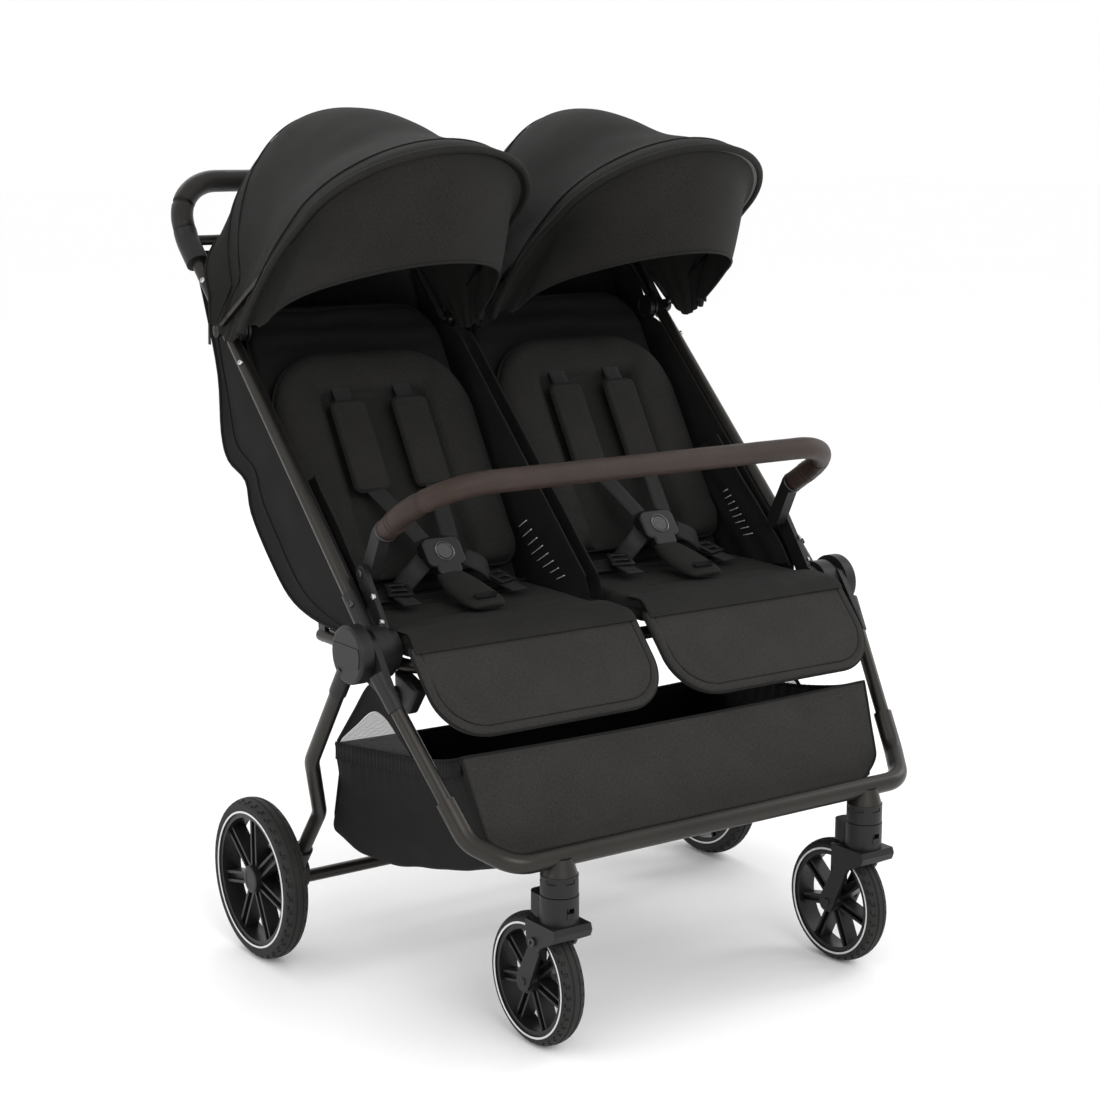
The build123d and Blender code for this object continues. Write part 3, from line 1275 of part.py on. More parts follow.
PIVOT_REACH = (CANOPY_PIVOT_Z - HUB_Z) / sin(radians(PUSH_ANGLE))
SHELL_FRONT = [
    beside_push(112, 14),
    beside_push(130),
    beside_push(PIVOT_REACH - 32),
    beside_push(PIVOT_REACH - 20, 15),
    beside_push(PIVOT_REACH + 20, 15),
    beside_push(PIVOT_REACH + 32),
    beside_push(PIVOT_REACH + 96),
    beside_push(PIVOT_REACH + 108, 18),
]
with BuildPart() as seat_shells:
    for side in (-1, 1):
        with BuildSketch(side_slab(side, SHELL_IN_X, SHELL_OUT_X)):
            with BuildLine():
                Polyline(*SHELL_FRONT, *SHELL_BACK, close=True)
            make_face()
        extrude(amount=SHELL_OUT_X - SHELL_IN_X)
    inner_back = [(y - 3.4, z + 1.4) for y, z in SHELL_BACK]
    for side in (-1, 1):
        with BuildSketch(side_slab(side, SHELL_IN_X + SHELL_CLOTH, SHELL_OUT_X - SHELL_CLOTH)):
            with BuildLine():
                Polyline((140, 440), (-60, 440), (-60, 900), (340, 900), *inner_back, close=True)
            make_face()
        extrude(amount=SHELL_OUT_X - SHELL_IN_X - 2 * SHELL_CLOTH, mode=Mode.SUBTRACT)
finish(seat_shells, "seat_shells")

# Harness webbing from the shoulder pads to the buckle
STRAP_WIDTH = 25.0
STRAP_THICK = 1.8
STRAP_GAP = 2.0
for name, side in SIDES:
    with BuildPart() as harness_straps:
        for offset in (-STRAP_X, STRAP_X):
            pad_end = back_plane(side, PAD_TOP + 4).from_local_coords(Vector(offset, SHOULDER_LOW - STRAP_GAP - 0.6, 0))
            edge_x = BUCKLE_WIDTH / 2 - 3
            edge = Vector(edge_x if offset > 0 else -edge_x, BUCKLE_HEAD + STRAP_GAP, 0)
            buckle_edge = buckle_plane(side, BUCKLE_THICKNESS / 2).from_local_coords(edge)
            across = Vector(1, 0, 0)
            way = buckle_edge - pad_end
            with BuildSketch(Plane(origin=pad_end, x_dir=way.cross(across).cross(way) * (1 / way.length), z_dir=way)):
                Rectangle(STRAP_WIDTH, STRAP_THICK)
            extrude(amount=way.length)
    finish(harness_straps, f"harness_straps_{name}")
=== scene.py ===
import json
from math import atan2, cos, hypot, pi, radians, sin, sqrt

import bmesh
import bpy
from mathutils import Matrix, Vector, noise


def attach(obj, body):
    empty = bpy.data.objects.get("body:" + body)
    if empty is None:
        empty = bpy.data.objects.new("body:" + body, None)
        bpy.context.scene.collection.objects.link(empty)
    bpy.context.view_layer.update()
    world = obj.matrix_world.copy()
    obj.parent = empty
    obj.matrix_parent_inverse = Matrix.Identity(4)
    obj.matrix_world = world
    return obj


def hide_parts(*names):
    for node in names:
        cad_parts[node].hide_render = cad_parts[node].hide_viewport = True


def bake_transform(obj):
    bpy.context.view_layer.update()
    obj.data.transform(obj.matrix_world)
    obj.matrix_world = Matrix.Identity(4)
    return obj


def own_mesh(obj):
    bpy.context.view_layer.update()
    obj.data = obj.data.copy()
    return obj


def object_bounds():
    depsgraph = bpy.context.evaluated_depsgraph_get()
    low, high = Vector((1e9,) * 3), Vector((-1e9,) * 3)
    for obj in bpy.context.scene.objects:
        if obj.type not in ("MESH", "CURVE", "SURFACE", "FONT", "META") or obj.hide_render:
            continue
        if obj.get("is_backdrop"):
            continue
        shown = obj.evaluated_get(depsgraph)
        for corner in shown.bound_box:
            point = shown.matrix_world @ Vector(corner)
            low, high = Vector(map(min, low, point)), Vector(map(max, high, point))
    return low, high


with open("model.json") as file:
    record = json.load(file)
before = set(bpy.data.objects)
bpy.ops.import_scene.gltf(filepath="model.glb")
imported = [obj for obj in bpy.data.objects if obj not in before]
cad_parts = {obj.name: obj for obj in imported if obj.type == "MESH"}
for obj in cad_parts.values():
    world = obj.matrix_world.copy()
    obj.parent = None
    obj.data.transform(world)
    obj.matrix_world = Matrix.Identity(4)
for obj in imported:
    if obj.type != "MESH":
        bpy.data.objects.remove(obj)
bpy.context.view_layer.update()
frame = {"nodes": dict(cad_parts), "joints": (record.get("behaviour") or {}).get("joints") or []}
nodes = frame["nodes"]
joints = {joint["name"]: joint for joint in frame["joints"]}
bpy.ops.object.select_all(action="DESELECT")

# Camera. A long lens stands at the front left, a little above the handle,
# and looks down at the stroller.
CAMERA_PLACE = (-1.5805, -2.1318, 1.0187)
CAMERA_PITCH = radians(11.32)
CAMERA_YAW = radians(-34.77)
FOCAL_PIXELS = 2212.0
PHOTO_PIXELS = 1100.0
LENS_CENTRE = (525.2, 567.3)

camera_data = bpy.data.cameras.new("camera")
camera_data.sensor_width = 36.0
camera_data.lens = FOCAL_PIXELS / PHOTO_PIXELS * camera_data.sensor_width
camera_data.shift_x = 0.5 - LENS_CENTRE[0] / PHOTO_PIXELS
camera_data.shift_y = LENS_CENTRE[1] / PHOTO_PIXELS - 0.5
camera = bpy.data.objects.new("camera", camera_data)
camera.location = CAMERA_PLACE
camera.rotation_euler = (pi / 2 - CAMERA_PITCH, 0.0, CAMERA_YAW)
bpy.context.scene.collection.objects.link(camera)
bpy.context.scene.camera = camera

# Studio. A pale seamless floor, a white room and broad soft boxes: a high one in
# front, one on each side and one behind for the edges of the tubes.
FLOOR_SIZE = 60.0
SOFT_BOXES = [
    ((-0.6, -3.0, 2.2), (2.2, 1.4), 44.0),
    ((-3.0, -0.2, 1.5), (0.8, 2.2), 16.0),
    ((2.9, -0.6, 1.9), (0.8, 2.0), 20.0),
    ((0.4, 2.6, 2.4), (2.4, 0.8), 16.0),
]
LIGHT_AIM = Vector((0.0, 0.0, 0.5))

bpy.context.scene.view_settings.view_transform = "Standard"
world = bpy.data.worlds.new("room")
world.use_nodes = True
world.node_tree.nodes["Background"].inputs["Color"].default_value = (1.0, 1.0, 1.0, 1.0)
world.node_tree.nodes["Background"].inputs["Strength"].default_value = 1.0
bpy.context.scene.world = world
for place, size, power in SOFT_BOXES:
    light_data = bpy.data.lights.new("soft_box", "AREA")
    light_data.shape = "RECTANGLE"
    light_data.size, light_data.size_y = size
    light_data.energy = power
    light = bpy.data.objects.new("soft_box", light_data)
    light.location = place
    light.rotation_euler = (LIGHT_AIM - Vector(place)).to_track_quat("-Z", "Y").to_euler()
    bpy.context.scene.collection.objects.link(light)


class Signal:
    """A socket in a finish's node tree. Sums and products add their Math nodes."""

    def __init__(self, tree, socket=None):
        self.tree = tree
        self.socket = socket

    def node(self, kind, settings=(), inputs=(), output=0):
        made = self.tree.nodes.new(kind)
        for name, value in dict(settings).items():
            if name == "stops":
                ramp = made.color_ramp
                while len(ramp.elements) < len(value):
                    ramp.elements.new(0.5)
                for stop, (place, colour) in zip(ramp.elements, value):
                    stop.position = place
                    stop.color = colour
            else:
                setattr(made, name, value)
        for name, value in dict(inputs).items():
            if isinstance(value, Signal):
                self.tree.links.new(value.socket, made.inputs[name])
            else:
                made.inputs[name].default_value = value
        return Signal(self.tree, made.outputs[output])

    def math(self, operation, first, second=0.0):
        return self.node("ShaderNodeMath", {"operation": operation}, {0: first, 1: second})

    def __add__(self, other):
        return self.math("ADD", self, other)

    __radd__ = __add__

    def __mul__(self, other):
        return self.math("MULTIPLY", self, other)

    __rmul__ = __mul__

    def __sub__(self, other):
        return self.math("SUBTRACT", self, other)

    def __rsub__(self, other):
        return self.math("SUBTRACT", other, self)

    def __pow__(self, other):
        return self.math("POWER", self, other)

    def above(self, level, soft):
        """0 below the level and 1 above it, with a soft edge."""
        limits = {"Value": self, "From Min": level - soft, "From Max": level + soft}
        return self.node("ShaderNodeMapRange", {"interpolation_type": "SMOOTHSTEP"}, limits)

    def mix(self, low, high):
        """The colour low where the signal is 0 and high where it is 1."""
        settings = {"data_type": "RGBA"}
        return self.node("ShaderNodeMix", settings, {0: self, 6: low, 7: high}, 2)

    def noise(self, place, scale, detail=2.0, roughness=0.5):
        inputs = {"Vector": place, "Scale": scale, "Detail": detail, "Roughness": roughness}
        return self.node("ShaderNodeTexNoise", (), inputs)

    def bump(self, height, depth, strength=1.0):
        return self.node("ShaderNodeBump", (), {"Height": height, "Distance": depth, "Strength": strength})


def colour(red, green=None, blue=None):
    green = red if green is None else green
    blue = red if blue is None else blue
    return (red, green, blue, 1.0)


def new_finish(name, fixed):
    """A material with its fixed values set, its tree's Signal and its shader."""
    made = bpy.data.materials.new(name)
    made.use_nodes = True
    shader = made.node_tree.nodes["Principled BSDF"]
    for socket, value in fixed.items():
        shader.inputs[socket].default_value = value
    return made, Signal(made.node_tree), shader


def wire(signal, shader, socket):
    signal.tree.links.new(signal.socket, shader.inputs[socket])


def paint(finish, *names):
    """Gives CAD nodes their finish."""
    for name in names:
        mesh = nodes[name].data
        mesh.materials.clear()
        mesh.materials.append(finish)


floor_finish, maths, shader = new_finish("seamless_floor", {"Roughness": 0.7, "Specular IOR Level": 0.2})
place = maths.node("ShaderNodeTexCoord", output="Object")
wire(maths.noise(place, 0.6).mix(colour(0.992), colour(1.0)), shader, "Base Color")
bpy.ops.mesh.primitive_plane_add(size=FLOOR_SIZE)
floor = bpy.context.object
floor.name = "studio_floor"
floor.data.materials.append(floor_finish)
floor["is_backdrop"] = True
bpy.ops.object.select_all(action="DESELECT")

# Frame tubes. Round aluminium tube, bead blasted and painted a satin dark bronze:
# the front legs and bar, the rear legs, the push frame and the canopies' front bows.
tube_paint, maths, shader = new_finish(
    "satin_bronze_paint",
    {"Metallic": 0.75, "Coat Weight": 0.15, "Coat Roughness": 0.3},
)
place = maths.node("ShaderNodeTexCoord", output="Object")
flake = maths.noise(place, 2600.0, 1.0)
cloud = maths.noise(place, 9.0, 3.0)
wire((cloud * 0.5 + flake * 0.5).mix(colour(0.012, 0.0105, 0.009), colour(0.036, 0.032, 0.0275)), shader, "Base Color")
wire(cloud * 0.10 + flake * 0.06 + 0.30, shader, "Roughness")
wire(maths.bump(flake, 0.00006), shader, "Normal")
paint(tube_paint, "front_bar", "front_leg_tubes", "rear_legs", "push_frame")
paint(tube_paint, "canopy_bow_left", "canopy_bow_right", "seat_frame", "rear_axle")

# Moulded parts. Black glass-filled nylon with a fine spark-eroded grain, a little
# worn at the top of the grain: sockets, sleeves, discs, brackets and housings.
moulding, maths, shader = new_finish("black_moulding", {"Specular IOR Level": 0.28})
place = maths.node("ShaderNodeTexCoord", output="Object")
grain = maths.noise(place, 1500.0, 2.0, 0.7)
cloud = maths.noise(place, 14.0, 3.0)
wire((grain * 0.4 + cloud * 0.6).mix(colour(0.0035), colour(0.011, 0.0107, 0.0103)), shader, "Base Color")
wire(grain * 0.16 + cloud * 0.10 + 0.30, shader, "Roughness")
wire(maths.bump(grain, 0.0001, 0.8), shader, "Normal")
MOULDED = (
    "front_leg_sockets caster_sockets hub_brackets hub_discs push_sleeves bumper_links axle_housings "
    "brake_pedal fold_housing fold_button handle_collars canopy_mounts caster_yoke_left "
    "caster_yoke_right fork_arm_left fork_arm_right swivel_lock_left swivel_lock_right "
    "buckle_left buckle_right buckle_button_left buckle_button_right"
)
paint(moulding, *MOULDED.split())

# Bright steel. Turned and ground pins, axles and screws.
steel, maths, shader = new_finish("ground_steel", {"Metallic": 1.0})
place = maths.node("ShaderNodeTexCoord", output="Object")
lathe = maths.noise(place, 700.0, 3.0)
wire(lathe.mix(colour(0.35), colour(0.62, 0.61, 0.60)), shader, "Base Color")
wire(lathe * 0.2 + 0.18, shader, "Roughness")
paint(steel, "brake_pin_left", "brake_pin_right")

# Tyres. Foamed rubber rings in a matt dark grey, moulded with two grooves round the
# crown and slanted cuts on both shoulders, and pressed on to the rims.
WHEEL_X = 0.3565
REAR_AXLE = (0.208, 0.1012)
FRONT_AXLE = (-0.208, 0.0768)
STEM = (0.228, -0.2494)
TYRE_STEPS = 108
CROWN_HEIGHT = 0.0095


def leave_edit():
    if bpy.context.object and bpy.context.object.mode == "EDIT":
        bpy.ops.object.mode_set(mode="OBJECT")


def to_edit(piece, kind="FACE"):
    bpy.ops.object.select_all(action="DESELECT")
    piece.select_set(True)
    bpy.context.view_layer.objects.active = piece
    bpy.ops.object.mode_set(mode="EDIT")
    bpy.ops.mesh.select_mode(type=kind)


def choose(piece, test):
    """In edit mode, selects the faces or vertices whose middle and normal pass."""
    grid = bmesh.from_edit_mesh(piece.data)
    by_face = bpy.context.tool_settings.mesh_select_mode[2]
    bpy.ops.mesh.select_all(action="DESELECT")
    for part in grid.faces if by_face else grid.verts:
        middle = part.calc_center_median() if by_face else part.co
        if test(middle, part.normal):
            part.select_set(True)
    grid.select_flush_mode()
    bmesh.update_edit_mesh(piece.data)


def settle(piece, name, body, finish, edge=35.0):
    """Leaves edit mode with a clean mesh in place, and gives finish and body."""
    leave_edit()
    bpy.ops.object.select_all(action="DESELECT")
    piece.select_set(True)
    bpy.context.view_layer.objects.active = piece
    bpy.ops.object.transform_apply(location=True, rotation=True, scale=True)
    if edge:
        bpy.ops.object.shade_smooth_by_angle(angle=radians(edge))
    piece.name = name
    piece.data.name = name
    piece.data.materials.clear()
    piece.data.materials.append(finish)
    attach(piece, body)
    piece.select_set(False)
    return piece


def copy_to(piece, place, name, body):
    """A copy with its own mesh, moved by the matrix place from the world's origin."""
    twin = bpy.data.objects.new(name, piece.data.copy())
    bpy.context.scene.collection.objects.link(twin)
    twin.data.name = name
    twin.data.transform(place)
    if place.determinant() < 0:
        twin.data.flip_normals()
    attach(twin, body)
    return twin


def moulded_tyre(radius, width, wall):
    bpy.ops.mesh.primitive_circle_add(vertices=32, radius=width / 2, location=(0, 0, 0))
    tyre = bpy.context.object
    to_edit(tyre, "VERT")
    choose(tyre, lambda at, up: at.y > 1e-5)
    bpy.ops.transform.resize(value=(1, CROWN_HEIGHT / (width / 2), 1), center_override=(0, 0, 0))
    choose(tyre, lambda at, up: at.y < -1e-5)
    bpy.ops.transform.resize(value=(0.94, 0.1, 1), center_override=(0, 0, 0))
    bpy.ops.transform.translate(value=(0, CROWN_HEIGHT - wall + width / 20, 0))
    bpy.ops.mesh.select_all(action="SELECT")
    bpy.ops.transform.translate(value=(0, radius - CROWN_HEIGHT, 0))
    bpy.ops.mesh.spin(steps=TYRE_STEPS, angle=2 * pi, center=(0, 0, 0), axis=(1, 0, 0), use_auto_merge=True)
    bpy.ops.mesh.select_all(action="SELECT")
    bpy.ops.mesh.remove_doubles(threshold=0.00005)
    bpy.ops.mesh.normals_make_consistent(inside=False)
    bpy.ops.mesh.select_mode(type="FACE")
    half = width / 2
    choose(tyre, lambda at, up: 0.18 < abs(at.x) / half < 0.36 and hypot(at.y, at.z) > radius - 0.004)
    bpy.ops.mesh.inset(thickness=0.0005, depth=-0.0011)

    def in_cut(at, up):
        slant = round((abs(at.x) / half - 0.5) * 4)
        step = int(atan2(at.z, at.y) / (2 * pi) * TYRE_STEPS + 2 * TYRE_STEPS) + slant
        level = hypot(at.y, at.z)
        return step % 3 == 0 and 0.5 < abs(at.x) / half < 0.95 and level > radius - 0.0085

    choose(tyre, in_cut)
    bpy.ops.mesh.inset(thickness=0.0005, depth=-0.0014)
    leave_edit()
    return tyre


rubber, maths, shader = new_finish("foamed_rubber", {"Specular IOR Level": 0.25})
place = maths.node("ShaderNodeTexCoord", output="Object")
pores = maths.noise(place, 1100.0, 2.0, 0.7)
dust = maths.noise(place, 30.0, 4.0, 0.6).above(0.56, 0.12)
wire((pores * 0.35 + dust * 0.3).mix(colour(0.008), colour(0.032, 0.030, 0.028)), shader, "Base Color")
wire(pores * 0.2 + dust * 0.1 + 0.55, shader, "Roughness")
wire(maths.bump(pores, 0.0002), shader, "Normal")

rear_tyre = settle(moulded_tyre(0.1012, 0.031, 0.017), "rear_tread_pattern", "chassis", rubber)
front_tyre = settle(moulded_tyre(0.0768, 0.030, 0.0115), "front_tread_pattern", "chassis", rubber)
for name, side in (("left", -1), ("right", 1)):
    rear = copy_to(rear_tyre, Matrix.Translation((side * WHEEL_X, *REAR_AXLE)), f"rear_tread_{name}", f"rear_wheel_{name}")
    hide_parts(f"rear_tyre_{name}")
    front = copy_to(front_tyre, Matrix.Translation((side * STEM[0], *FRONT_AXLE)), f"front_tread_{name}", f"front_wheel_{name}")
    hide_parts(f"front_tyre_{name}")
bpy.data.objects.remove(rear_tyre)
bpy.data.objects.remove(front_tyre)

# Rims. Moulded charcoal nylon with seven double ribs. A flat cap closes each hub, and
# a thin pale ring is pressed in where the tyre meets the rim.
rim_nylon, maths, shader = new_finish("rim_nylon", {"Specular IOR Level": 0.28})
place = maths.node("ShaderNodeTexCoord", output="Object")
grain = maths.noise(place, 1300.0, 2.0)
cloud = maths.noise(place, 22.0, 3.0)
wire((cloud * 0.6 + grain * 0.4).mix(colour(0.0035), colour(0.012, 0.0118, 0.0115)), shader, "Base Color")
wire(cloud * 0.12 + grain * 0.1 + 0.28, shader, "Roughness")
wire(maths.bump(grain, 0.00008), shader, "Normal")
paint(rim_nylon, "rear_rim_left", "rear_rim_right", "front_rim_left", "front_rim_right")

pale_ring, maths, shader = new_finish("pale_ring", {"Metallic": 0.35})
place = maths.node("ShaderNodeTexCoord", output="Object")
wear = maths.noise(place, 60.0, 3.0)
wire(wear.mix(colour(0.55), colour(0.74)), shader, "Base Color")
wire(wear * 0.2 + 0.25, shader, "Roughness")


def trim_ring(radius):
    bpy.ops.mesh.primitive_torus_add(
        major_segments=96, minor_segments=10, major_radius=radius, minor_radius=0.0013, rotation=(0, pi / 2, 0)
    )
    ring = bpy.context.object
    bpy.ops.object.transform_apply(rotation=True)
    to_edit(ring, "VERT")
    bpy.ops.mesh.select_all(action="SELECT")
    bpy.ops.transform.resize(value=(0.55, 1, 1), center_override=(0, 0, 0))
    leave_edit()
    return ring


def hub_cap(radius):
    bpy.ops.mesh.primitive_cylinder_add(vertices=48, radius=radius, depth=0.0022, rotation=(0, pi / 2, 0))
    cap = bpy.context.object
    bpy.ops.object.transform_apply(rotation=True)
    to_edit(cap)
    choose(cap, lambda at, up: up.x > 0.9)
    bpy.ops.mesh.inset(thickness=0.0012, depth=0.0006)
    bpy.ops.mesh.inset(thickness=radius * 0.24, depth=0.0)
    bpy.ops.mesh.inset(thickness=0.0005, depth=-0.0005)
    leave_edit()
    return cap


WHEELS = (
    ("rear", WHEEL_X, REAR_AXLE, trim_ring(0.0845), 0.0151, hub_cap(0.0165), 0.0133),
    ("front", STEM[0], FRONT_AXLE, trim_ring(0.0657), 0.0144, None, 0.0),
)
for which, x, axle, ring, ring_x, cap, cap_x in WHEELS:
    settle(ring, f"{which}_ring_pattern", "chassis", pale_ring)
    if cap:
        settle(cap, f"{which}_cap_pattern", "chassis", moulding)
    for name, side in (("left", -1), ("right", 1)):
        body = f"{which}_wheel_{name}"
        for face in (-1, 1):
            spot = Matrix.Translation((side * x + face * ring_x, *axle))
            copy_to(ring, spot, f"{which}_ring_{name}_{'in' if face * side < 0 else 'out'}", body)
        if cap:
            spot = Matrix.Translation((side * (x + cap_x), *axle)) @ Matrix.Diagonal((side, 1, 1, 1))
            copy_to(cap, spot, f"{which}_hub_cap_{name}", body)
    bpy.data.objects.remove(ring)
    if cap:
        bpy.data.objects.remove(cap)

# Screws. Steel button heads with a six-sided socket: bright ones at the
# bumper's brackets and the tube ends, black ones in the mouldings.
black_screw, maths, shader = new_finish("blackened_screw", {"Metallic": 0.9})
place = maths.node("ShaderNodeTexCoord", output="Object")
wear = maths.noise(place, 900.0, 2.0)
wire(wear.mix(colour(0.02), colour(0.09)), shader, "Base Color")
wire(wear * 0.2 + 0.3, shader, "Roughness")

bpy.ops.mesh.primitive_cylinder_add(vertices=24, radius=0.0040, depth=0.0026, location=(0, 0, 0.0006))
button_head = bpy.context.object
bpy.ops.object.transform_apply(location=True)
to_edit(button_head)
choose(button_head, lambda at, up: up.z > 0.9)
bpy.ops.mesh.inset(thickness=0.0007, depth=0.0006)
bpy.ops.mesh.inset(thickness=0.0012, depth=0.0003)
bpy.ops.mesh.inset(thickness=0.0003, depth=0.0)
bpy.ops.mesh.inset(thickness=0.0002, depth=-0.0012)
settle(button_head, "screw_pattern", "chassis", steel, 30)


def facing(point, out):
    """The matrix that sets a piece's local z along out, at point."""
    return Matrix.Translation(point) @ Vector(out).to_track_quat("Z", "Y").to_matrix().to_4x4()


PUSH_SLOPE = radians(44.6)
HUB = Vector((0.0, -0.0395, 0.436))
PUSH_WAY = Vector((0.0, cos(PUSH_SLOPE), sin(PUSH_SLOPE)))
TUBE_X, TUBE_RADIUS = 0.333, 0.00825


def on_push(reach, side, around):
    """A point and its normal on a push tube, reach from the hub. around is the angle
    from straight out towards the front."""
    forward = Vector((0.0, -sin(PUSH_SLOPE), cos(PUSH_SLOPE)))
    out = Vector((side * cos(around), 0, 0)) + forward * sin(around)
    return HUB + PUSH_WAY * reach + Vector((side * TUBE_X, 0, 0)) + out * TUBE_RADIUS, out


SCREWS = []
for name, side in (("left", -1), ("right", 1)):
    for reach, finish, scale, lift in ((0.423, steel, 0.85, 0.0004), (0.556, steel, 0.85, 0.0004), (0.062, black_screw, 1.0, 0.0018)):
        at, out = on_push(reach, side, 0.6)
        SCREWS.append((at + out * lift, out, scale, finish, "push_assembly"))
    SCREWS.append(((side * 0.3205, 0.0125, 0.515), (side, 0, 0), 1.25, black_screw, "chassis"))
    for y, z in ((-0.0150, 0.4925), (-0.0330, 0.4660)):
        SCREWS.append(((side * 0.3205, y, z), (side, 0, 0), 1.0, steel, "chassis"))
    SCREWS.append(((side * (STEM[0] + 0.0258), STEM[1] + 0.0134, 0.1335), (1 * side, 0, 0), 1.3, black_screw, f"caster_{name}"))
    SCREWS.append(((side * (STEM[0] + 0.0195), *FRONT_AXLE), (side, 0, 0), 1.2, black_screw, f"fork_{name}"))
    SCREWS.append(((side * (STEM[0] - 0.0195), *FRONT_AXLE), (-side, 0, 0), 1.2, black_screw, f"fork_{name}"))
for number, (at, out, scale, finish, body) in enumerate(SCREWS):
    head = copy_to(button_head, facing(at, out) @ Matrix.Scale(scale, 4), f"screw_{number}", body)
    head.data.materials[0] = finish
bpy.data.objects.remove(button_head)

# Canopies. Woven charcoal polyester with a heathered face, sewn over a front and a
# rear bow. The front edge is a tunnel round its bow with a piped seam behind it, and a
# zip follows the rear edge. The front hem carries a stiff visor that slides out.
def cloth_finish(name, dark, light, fixed, weave=420.0, depth=0.00022):
    """Twill with heathered yarns, on a UV map in metres."""
    made, maths, shader = new_finish(name, {"Sheen Roughness": 0.5, "Specular IOR Level": 0.16, **fixed})
    uv = maths.node("ShaderNodeTexCoord", output="UV")
    along = maths.node("ShaderNodeMapping", (), {"Vector": uv, "Scale": (260.0, 1300.0, 1.0)})
    across = maths.node("ShaderNodeMapping", (), {"Vector": uv, "Scale": (1300.0, 260.0, 1.0)})
    yarn = maths.noise(along, 1.0, 2.0) * 0.5 + maths.noise(across, 1.0, 2.0) * 0.5
    bands = {"wave_type": "BANDS", "bands_direction": "DIAGONAL"}
    inputs = {"Vector": uv, "Scale": weave, "Distortion": 1.2, "Detail": 1.0, "Detail Scale": 2.0}
    twill = maths.node("ShaderNodeTexWave", bands, inputs, 1)
    cloud = maths.noise(uv, 14.0, 3.0, 0.6)
    shade = (yarn - 0.5) * 2.4 + (twill - 0.5) * 0.22 + (cloud - 0.5) * 0.5 + 0.5
    wire(shade.mix(dark, light), shader, "Base Color")
    wire(0.86 - twill * 0.1, shader, "Roughness")
    wire(maths.bump(twill * 0.6 + yarn * 0.6, depth), shader, "Normal")
    return made


charcoal_twill = cloth_finish(
    "charcoal_twill", colour(0.0035, 0.0034, 0.0032), colour(0.0195, 0.0185, 0.0172), {"Sheen Weight": 0.012}
)
panel_twill = cloth_finish(
    "panel_twill", colour(0.0095, 0.0092, 0.0087), colour(0.034, 0.0325, 0.0305), {"Sheen Weight": 0.015}
)
black_cloth = cloth_finish(
    "black_cloth", colour(0.0022), colour(0.0088, 0.0084, 0.008), {"Sheen Weight": 0.008}, 600.0, 0.00015
)
piping_cloth = cloth_finish(
    "piping_cloth", colour(0.003), colour(0.0125, 0.012, 0.0115), {"Sheen Weight": 0.01}, 900.0, 0.0001
)


def sew(name, rows, finish, thick=0.0016, level=1, closed=False, flip=False):
    """A cloth through rows of points, with a wall inwards and a UV map in metres."""
    count = len(rows[0])
    spans = count if closed else count - 1
    faces, uvs = [], {}
    for r in range(len(rows) - 1):
        for c in range(spans):
            d = (c + 1) % count
            quad = (r * count + c, r * count + d, (r + 1) * count + d, (r + 1) * count + c)
            faces.append(quad[::-1] if flip else quad)
    for r, row in enumerate(rows):
        u = 0.0
        for c, point in enumerate(row):
            u += (point - row[c - 1]).length if c else 0.0
            above = uvs[(r - 1) * count + c][1] + (point - rows[r - 1][c]).length if r else 0.0
            uvs[r * count + c] = (u, above)
        middle = uvs[r * count + count // 2][0]
        for c in range(count):
            uvs[r * count + c] = (uvs[r * count + c][0] - middle, uvs[r * count + c][1])
    mesh = bpy.data.meshes.new(name)
    mesh.from_pydata([tuple(point) for row in rows for point in row], [], faces)
    layer = mesh.uv_layers.new(name="metres")
    for loop in mesh.loops:
        layer.data[loop.index].uv = uvs[loop.vertex_index]
    for face in mesh.polygons:
        face.use_smooth = True
    piece = bpy.data.objects.new(name, mesh)
    bpy.context.scene.collection.objects.link(piece)
    mesh.materials.append(finish)
    bpy.context.view_layer.objects.active = piece
    if thick:
        wall = piece.modifiers.new("wall", "SOLIDIFY")
        wall.thickness = thick
        wall.offset = -1.0
        bpy.ops.object.modifier_apply(modifier="wall")
    if level:
        soft = piece.modifiers.new("soft", "SUBSURF")
        soft.levels = level
        soft.render_levels = level
        bpy.ops.object.modifier_apply(modifier="soft")
    return piece


def cut_size(rows):
    """The width, length and area of the cut that lies along rows of points."""
    wide = max(sum((a - b).length for a, b in zip(row, row[1:])) for row in rows)
    tall = max(sum((a - b).length for a, b in zip(line, line[1:])) for line in zip(*rows))
    area = 0.0
    for low, high in zip(rows, rows[1:]):
        for a, b, c, d in zip(low, low[1:], high[1:], high):
            area += (c - a).cross(d - b).length / 2
    return (wide, tall), min(area, wide * tall)


def hang(rows):
    flat, area = cut_size(rows)


def welt(name, points, radius, finish, closed=False, sides=8):
    """A round piping cord through points."""
    count = len(points)
    rows = []
    last = None
    for i, point in enumerate(points):
        ahead = points[(i + 1) % count] if closed or i < count - 1 else point
        behind = points[i - 1] if closed or i else point
        way = (ahead - behind).normalized()
        side = last - way * last.dot(way) if last else way.orthogonal()
        last = side.normalized()
        other = way.cross(last)
        turns = [2 * pi * k / sides for k in range(sides)]
        rows.append([point + (last * cos(a) + other * sin(a)) * radius for a in turns])
    if closed:
        start = rows[0]
        shift = min(range(sides), key=lambda k: (start[k] - rows[-1][0]).length)
        rows.append([start[(k + shift) % sides] for k in range(sides)])
    else:
        rows.insert(0, [points[0]] * sides)
        rows.append([points[-1]] * sides)
    return sew(name, rows, finish, thick=0, level=0, closed=True)


